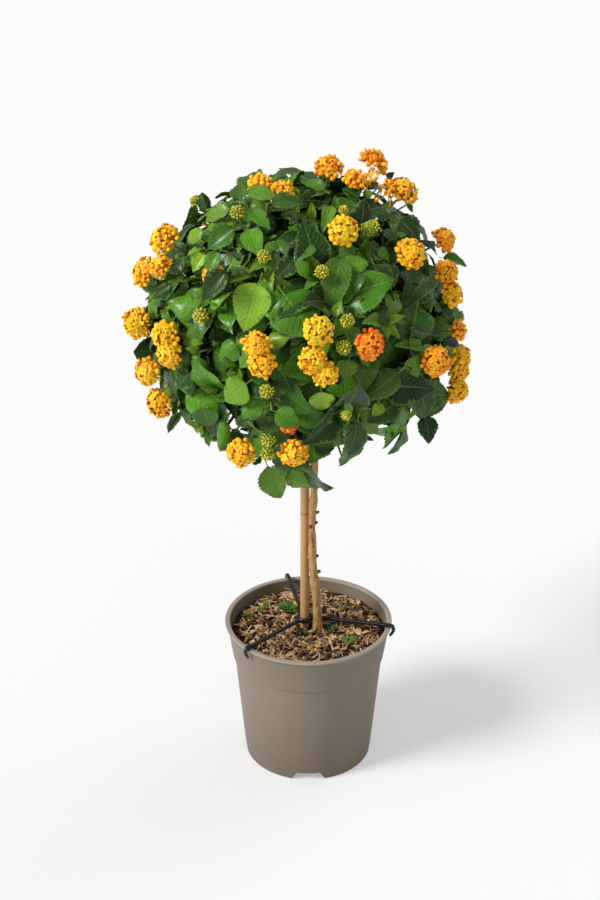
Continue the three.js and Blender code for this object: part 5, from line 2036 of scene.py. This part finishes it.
def closed_floret(name, radius, tall, tube_long, sides):
    outline = [(0, -tube_long), (0.13, -tube_long), (0.14, -0.45 * tall), (0.75 * radius, -0.25 * tall)]
    outline += [(radius, 0.12 * tall), (0.68 * radius, 0.42 * tall), (0, 0.56 * tall)]
    points, faces = turned(outline, sides)
    throat = [0.5 if point[2] < -0.3 * tall else 0.0 for point in points]
    return as_kind(plain_mesh(name, points, faces, throat=throat))


# Open florets as (radius, cup, puff) and closed ones as (radius, height, tube length, sides).
OPEN_KINDS = [(1.0, -0.16, 0.16), (0.94, -0.34, 0.14), (1.04, 0.05, 0.2), (0.74, 0.55, 0.12)]
CLOSED_KINDS = [(0.64, 1.2, 1.4, 6), (0.54, 1.3, 1.4, 6), (0.46, 1.25, 1.0, 6), (1.0, 1.7, 1.0, 12)]
HALF_OPEN, CLOSED, BUD, CORE = 3, 4, 6, 7  # the numbers of the kinds from which such florets start


def floret_kinds():
    meshes = [open_floret("open_floret", *kind) for kind in OPEN_KINDS]
    meshes += [closed_floret("closed_floret", *kind) for kind in CLOSED_KINDS]
    return kinds_collection("floret", meshes)


print(LOBES, "lobes to a floret")

# %% [markdown]
# ### Florets: finish
#
# One ramp runs through the life of a floret: green bud, yellow, golden, orange and red-orange. The
# head sets a base ripeness, the florets vary round it, and the throat is a step further on.

# %% Floret colours
petals = Finish("lantana_flower", Roughness=0.6)
grain = petals.noise(1.3, detail=2.0)
ripe = petals.attribute("ripe") + petals.attribute("throat") * 0.14 + grain * 0.10 - 0.05
petal = petals.ramp(
    ripe,
    (0.0, 120, 150, 52),
    (0.14, 176, 186, 56),
    (0.28, 248, 214, 24),
    (0.48, 255, 182, 6),
    (0.68, 254, 144, 6),
    (0.85, 244, 96, 8),
    (1.0, 204, 58, 12),
)
deep = petals.mix(petal, (168, 84, 14), petals.attribute("throat") * 0.3)
# the dark value is painted shade: it darkens the heads' cores, which stand for the shade between florets
petals.set(Base_Color=petals.mix(deep, (112, 62, 14), petals.attribute("dark") * 0.8))
petals.bump(grain, 0.15, 0.5)

FLORET_SHARP = 60
FLORETS = Named(count=43, size=4.6, lowest=118, core=0.72, inset=1.8, half_open=0.22)
FLORETS |= Named(usual=15.5, small=12.8)  # the radius of a head with that count, and of a young head
HALF_HIDDEN = {3: 4.0, 4: 3.0, 12: 6.0}  # heads that stand lower among their leaves, and by how many mm
RIPENESS = {11: 0.4, 12: 0.7, 13: 0.4, 18: 0.34, 22: 0.32, 23: 0.38, 24: 0.64}  # heads riper or less so
# Single florets of the loose head that hang below it, as mm right of the heart and above it.
STRAY_FLORETS = [(74, 155), (79, 150), (71, 145), (87, 143), (90, 135), (93, 141), (96, 132), (81, 129)]
STRAY_FLORETS += [(76, 162), (82, 158), (75, 150), (92, 148), (97, 145), (94, 136)]


def floret_axes(out, random):
    """Axes with Z outwards, tipped a little and turned any way."""
    tipped = unit(out + jitter(random, 0.22))
    first, second = square_axes(tipped)
    turn = random(0, pi / 2)
    x = first * cos(turn) + second * sin(turn)
    return x, np.cross(tipped, x), tipped


def add_strays(copies, random, ripeness):
    for right, up in STRAY_FLORETS:
        out = unit(UP - AHEAD * 0.5 + jitter(random, 0.5))
        size = FLORETS.size * random(0.8, 1.0)
        point, pick = seen_on_ball(right, up, HEAD_REACH), int(random(0, BUD))
        ripe = ripeness + random(-0.12, 0.12)
        copies.add(point, floret_axes(out, random), (size, size, size * 1.7), pick, ripe=ripe)


def add_head(copies, head, random, ripeness, lower=0.0):
    centre = HEART + head.axis * (head.reach - lower)
    axis, radius = head_face(head), head.radius - lower * 0.7
    first, second = square_axes(axis)
    is_small = radius < FLORETS.small
    is_loose = head.reach > LOOSE_REACH
    count = round((0.6 if is_loose else 1.0) * FLORETS.count * (radius / FLORETS.usual) ** 1.6)
    if not is_loose:
        core = FLORETS.core * (radius - 1.5)
        # the core, dark as the painted shade between the florets
        copies.add(centre, (first, second, axis), core, CORE, ripe=ripeness + 0.2, dark=0.6)
    spin = random(0, 6)
    for place in dome_directions(count, FLORETS.lowest):
        x = place[0] * cos(spin) - place[1] * sin(spin)
        y = place[0] * sin(spin) + place[1] * cos(spin)
        z = place[2]
        x, y = x + random(-0.07, 0.07), y + random(-0.07, 0.07)
        out = unit(first * x + second * y + axis * z * 0.9)
        reach = radius - FLORETS.inset - random(-0.6, 2.0)
        dome = HEAD.dome if z > 0 else 0.6
        point = centre + (first * x + second * y) * reach + axis * z * reach * dome
        polar = degrees(acos(z))
        is_closed = random() < (0.75 if is_small else 0.08 + 0.7 * (polar > 72) + 0.2 * (polar > 95))
        if is_closed:
            pick = int(random(CLOSED, BUD))
        else:
            pick = HALF_OPEN if random() < FLORETS.half_open else int(random(0, HALF_OPEN))
        ripe = ripeness + random(-0.12, 0.12) + (0.07 if is_closed else 0.0)
        size = FLORETS.size * random(0.8, 1.14)
        sizes = (size, size, size * (1.9 if is_loose else 1.0))
        copies.add(point, floret_axes(out, random), sizes, pick, ripe=ripe)


kinds = floret_kinds()
random = Dice(1618)
for number, group in enumerate(HEADS):
    copies = Copies("ripe", "dark")
    for head in group:
        usual = random(0.35, 0.51)
        add_head(copies, head, random, RIPENESS.get(number, usual), HALF_HIDDEN.get(number, 0.0))
        if head.reach > LOOSE_REACH:
            add_strays(copies, random, usual)
    piece = copies.piece(f"florets_{number + 1:02d}", kinds, petals, FLORET_SHARP)
    finish_piece(piece, None, "flower", f"bloom_{number + 1:02d}")
drop_kinds(kinds)

# %% [markdown]
# ## Bud heads
#
# Some shoots end in a young head: a close dome of small green and yellow buds. They are the bud kind
# of the florets, smaller and far less ripe, over a core that is dark as painted shade.

# %% Bud heads
BUDS = Named(count=36, lowest=114, size=2.7, core=0.78)


def add_buds(copies, shoot, random):
    centre, axis = HEART + shoot.axis * (shoot_end(shoot) + BUD_LIFT), shoot.axis
    first, second = square_axes(axis)
    radius = shoot.bud
    # the core, dark as the painted shade between the buds
    copies.add(centre, (first, second, axis), radius * BUDS.core, CORE, ripe=0.02, dark=0.25)
    for place in dome_directions(BUDS.count, BUDS.lowest):
        out = unit(first * place[0] + second * place[1] + axis * place[2])
        point = centre + out * radius * random(0.84, 1.0)
        ripe = 0.03 + 0.24 * random() ** 1.6 + 0.06 * (place[2] > 0.8)
        dark = random(0.0, 0.3)
        axes, size = floret_axes(out, random), BUDS.size * random(0.8, 1.15)
        copies.add(point, axes, size, BUD, ripe=ripe, dark=dark)


kinds = floret_kinds()
random = Dice(77)
copies = Copies("ripe", "dark")
budding = [shoot for shoot in SHOOTS if shoot.bud]
for shoot in budding:
    add_buds(copies, shoot, random)
buds = copies.piece("buds", kinds, petals, FLORET_SHARP)
stems = sorted({shoot.stem for shoot in budding})
finish_piece(buds, None, "flower", *[stem_node(stem) for stem in stems])
drop_kinds(kinds)

# %% [markdown]
# ## Weeds and moss
#
# A few seedlings and tufts of moss have come up in the mulch, and two yellow scraps of leaf have
# fallen on it. All are rosettes of the same leaf kinds at a tenth to a third of the size.

# %% Weeds
WEED_CLUMPS = [
    # name, x, y, leaves, blade length, lean from upright, young
    ("left", -24, 34, 9, 10.5, 62, 0.35),
    ("right", 46, -34, 5, 9.5, 66, 0.55),
]
SEEDLINGS = [  # the same without a name
    (-8, -12, 6, 6.0, 70, 0.0), (0.5, -17, 5, 5.0, 72, 0.0), (-56, 37, 6, 5.0, 60, 0.7),
    (-49, 47, 7, 5.5, 60, 0.6), (-73, 24, 5, 5.0, 64, 0.6), (-20, 28, 5, 6.0, 50, 0.5),
    (40, 38, 6, 5.0, 62, 0.5), (24, -3, 9, 4.0, 66, 0.0), (30, -8, 9, 3.5, 66, 0.1),
    (22, -12, 8, 3.5, 66, 0.0), (5, -47, 2, 8.0, 78, 1.8), (-22, 43, 1, 15.0, 80, 1.8),
]


def add_weed(copies, x, y, count, length, lean, young, ranges, random):
    base = np.array([x, y, mulch_height(x, y) + 1.0])
    for i in range(count):
        around = i * 2.4 + random(-0.3, 0.3)
        tilt = radians(lean + random(-14, 8))
        level = np.array([cos(around), sin(around), 0])
        run = level * sin(tilt) + UP * cos(tilt)
        face = unit(UP - run * run[2])
        axes = (np.cross(run, face), run, face)
        size = length * random(0.75, 1.1)
        lift = UP * random(0.5, 3.5)
        tint = random()
        pick = int(random(*ranges["grown"]))
        copies.add(base + lift, axes, (size * 1.35, size, size), pick, tint=tint, young=young)


kinds, ranges = leaf_kinds()
random = Dice(64)
for name, *clump in WEED_CLUMPS:
    copies = Copies("tint", "young")
    add_weed(copies, *clump, ranges, random)
    weed = copies.piece(f"seedling_{name}", kinds, leafy, LEAF_SHARP)
    finish_piece(weed, None, "weed", f"weed_{name}")
copies = Copies("tint", "young")
for seedling in SEEDLINGS:
    add_weed(copies, *seedling, ranges, random)
seedlings = copies.piece("seedlings", kinds, leafy, LEAF_SHARP)
finish_piece(seedlings, None, "weed", "weed_left")
drop_kinds(kinds)

# %% [markdown]
# ## Size
#
# The dressed plant should fill the same box as the imported solids. Both boxes are written down side by
# side, in metres, so that they can be compared.


DRESSED_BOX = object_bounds()
for name, box in (("cad", CAD_BOX), ("dressed", DRESSED_BOX)):
    print(name, [round(high - low, 4) for low, high in zip(*box)])
triangles = sum(len(face.vertices) - 2 for piece in PIECES for face in piece.data.polygons)
print(len(PIECES), "pieces,", triangles, "triangles")
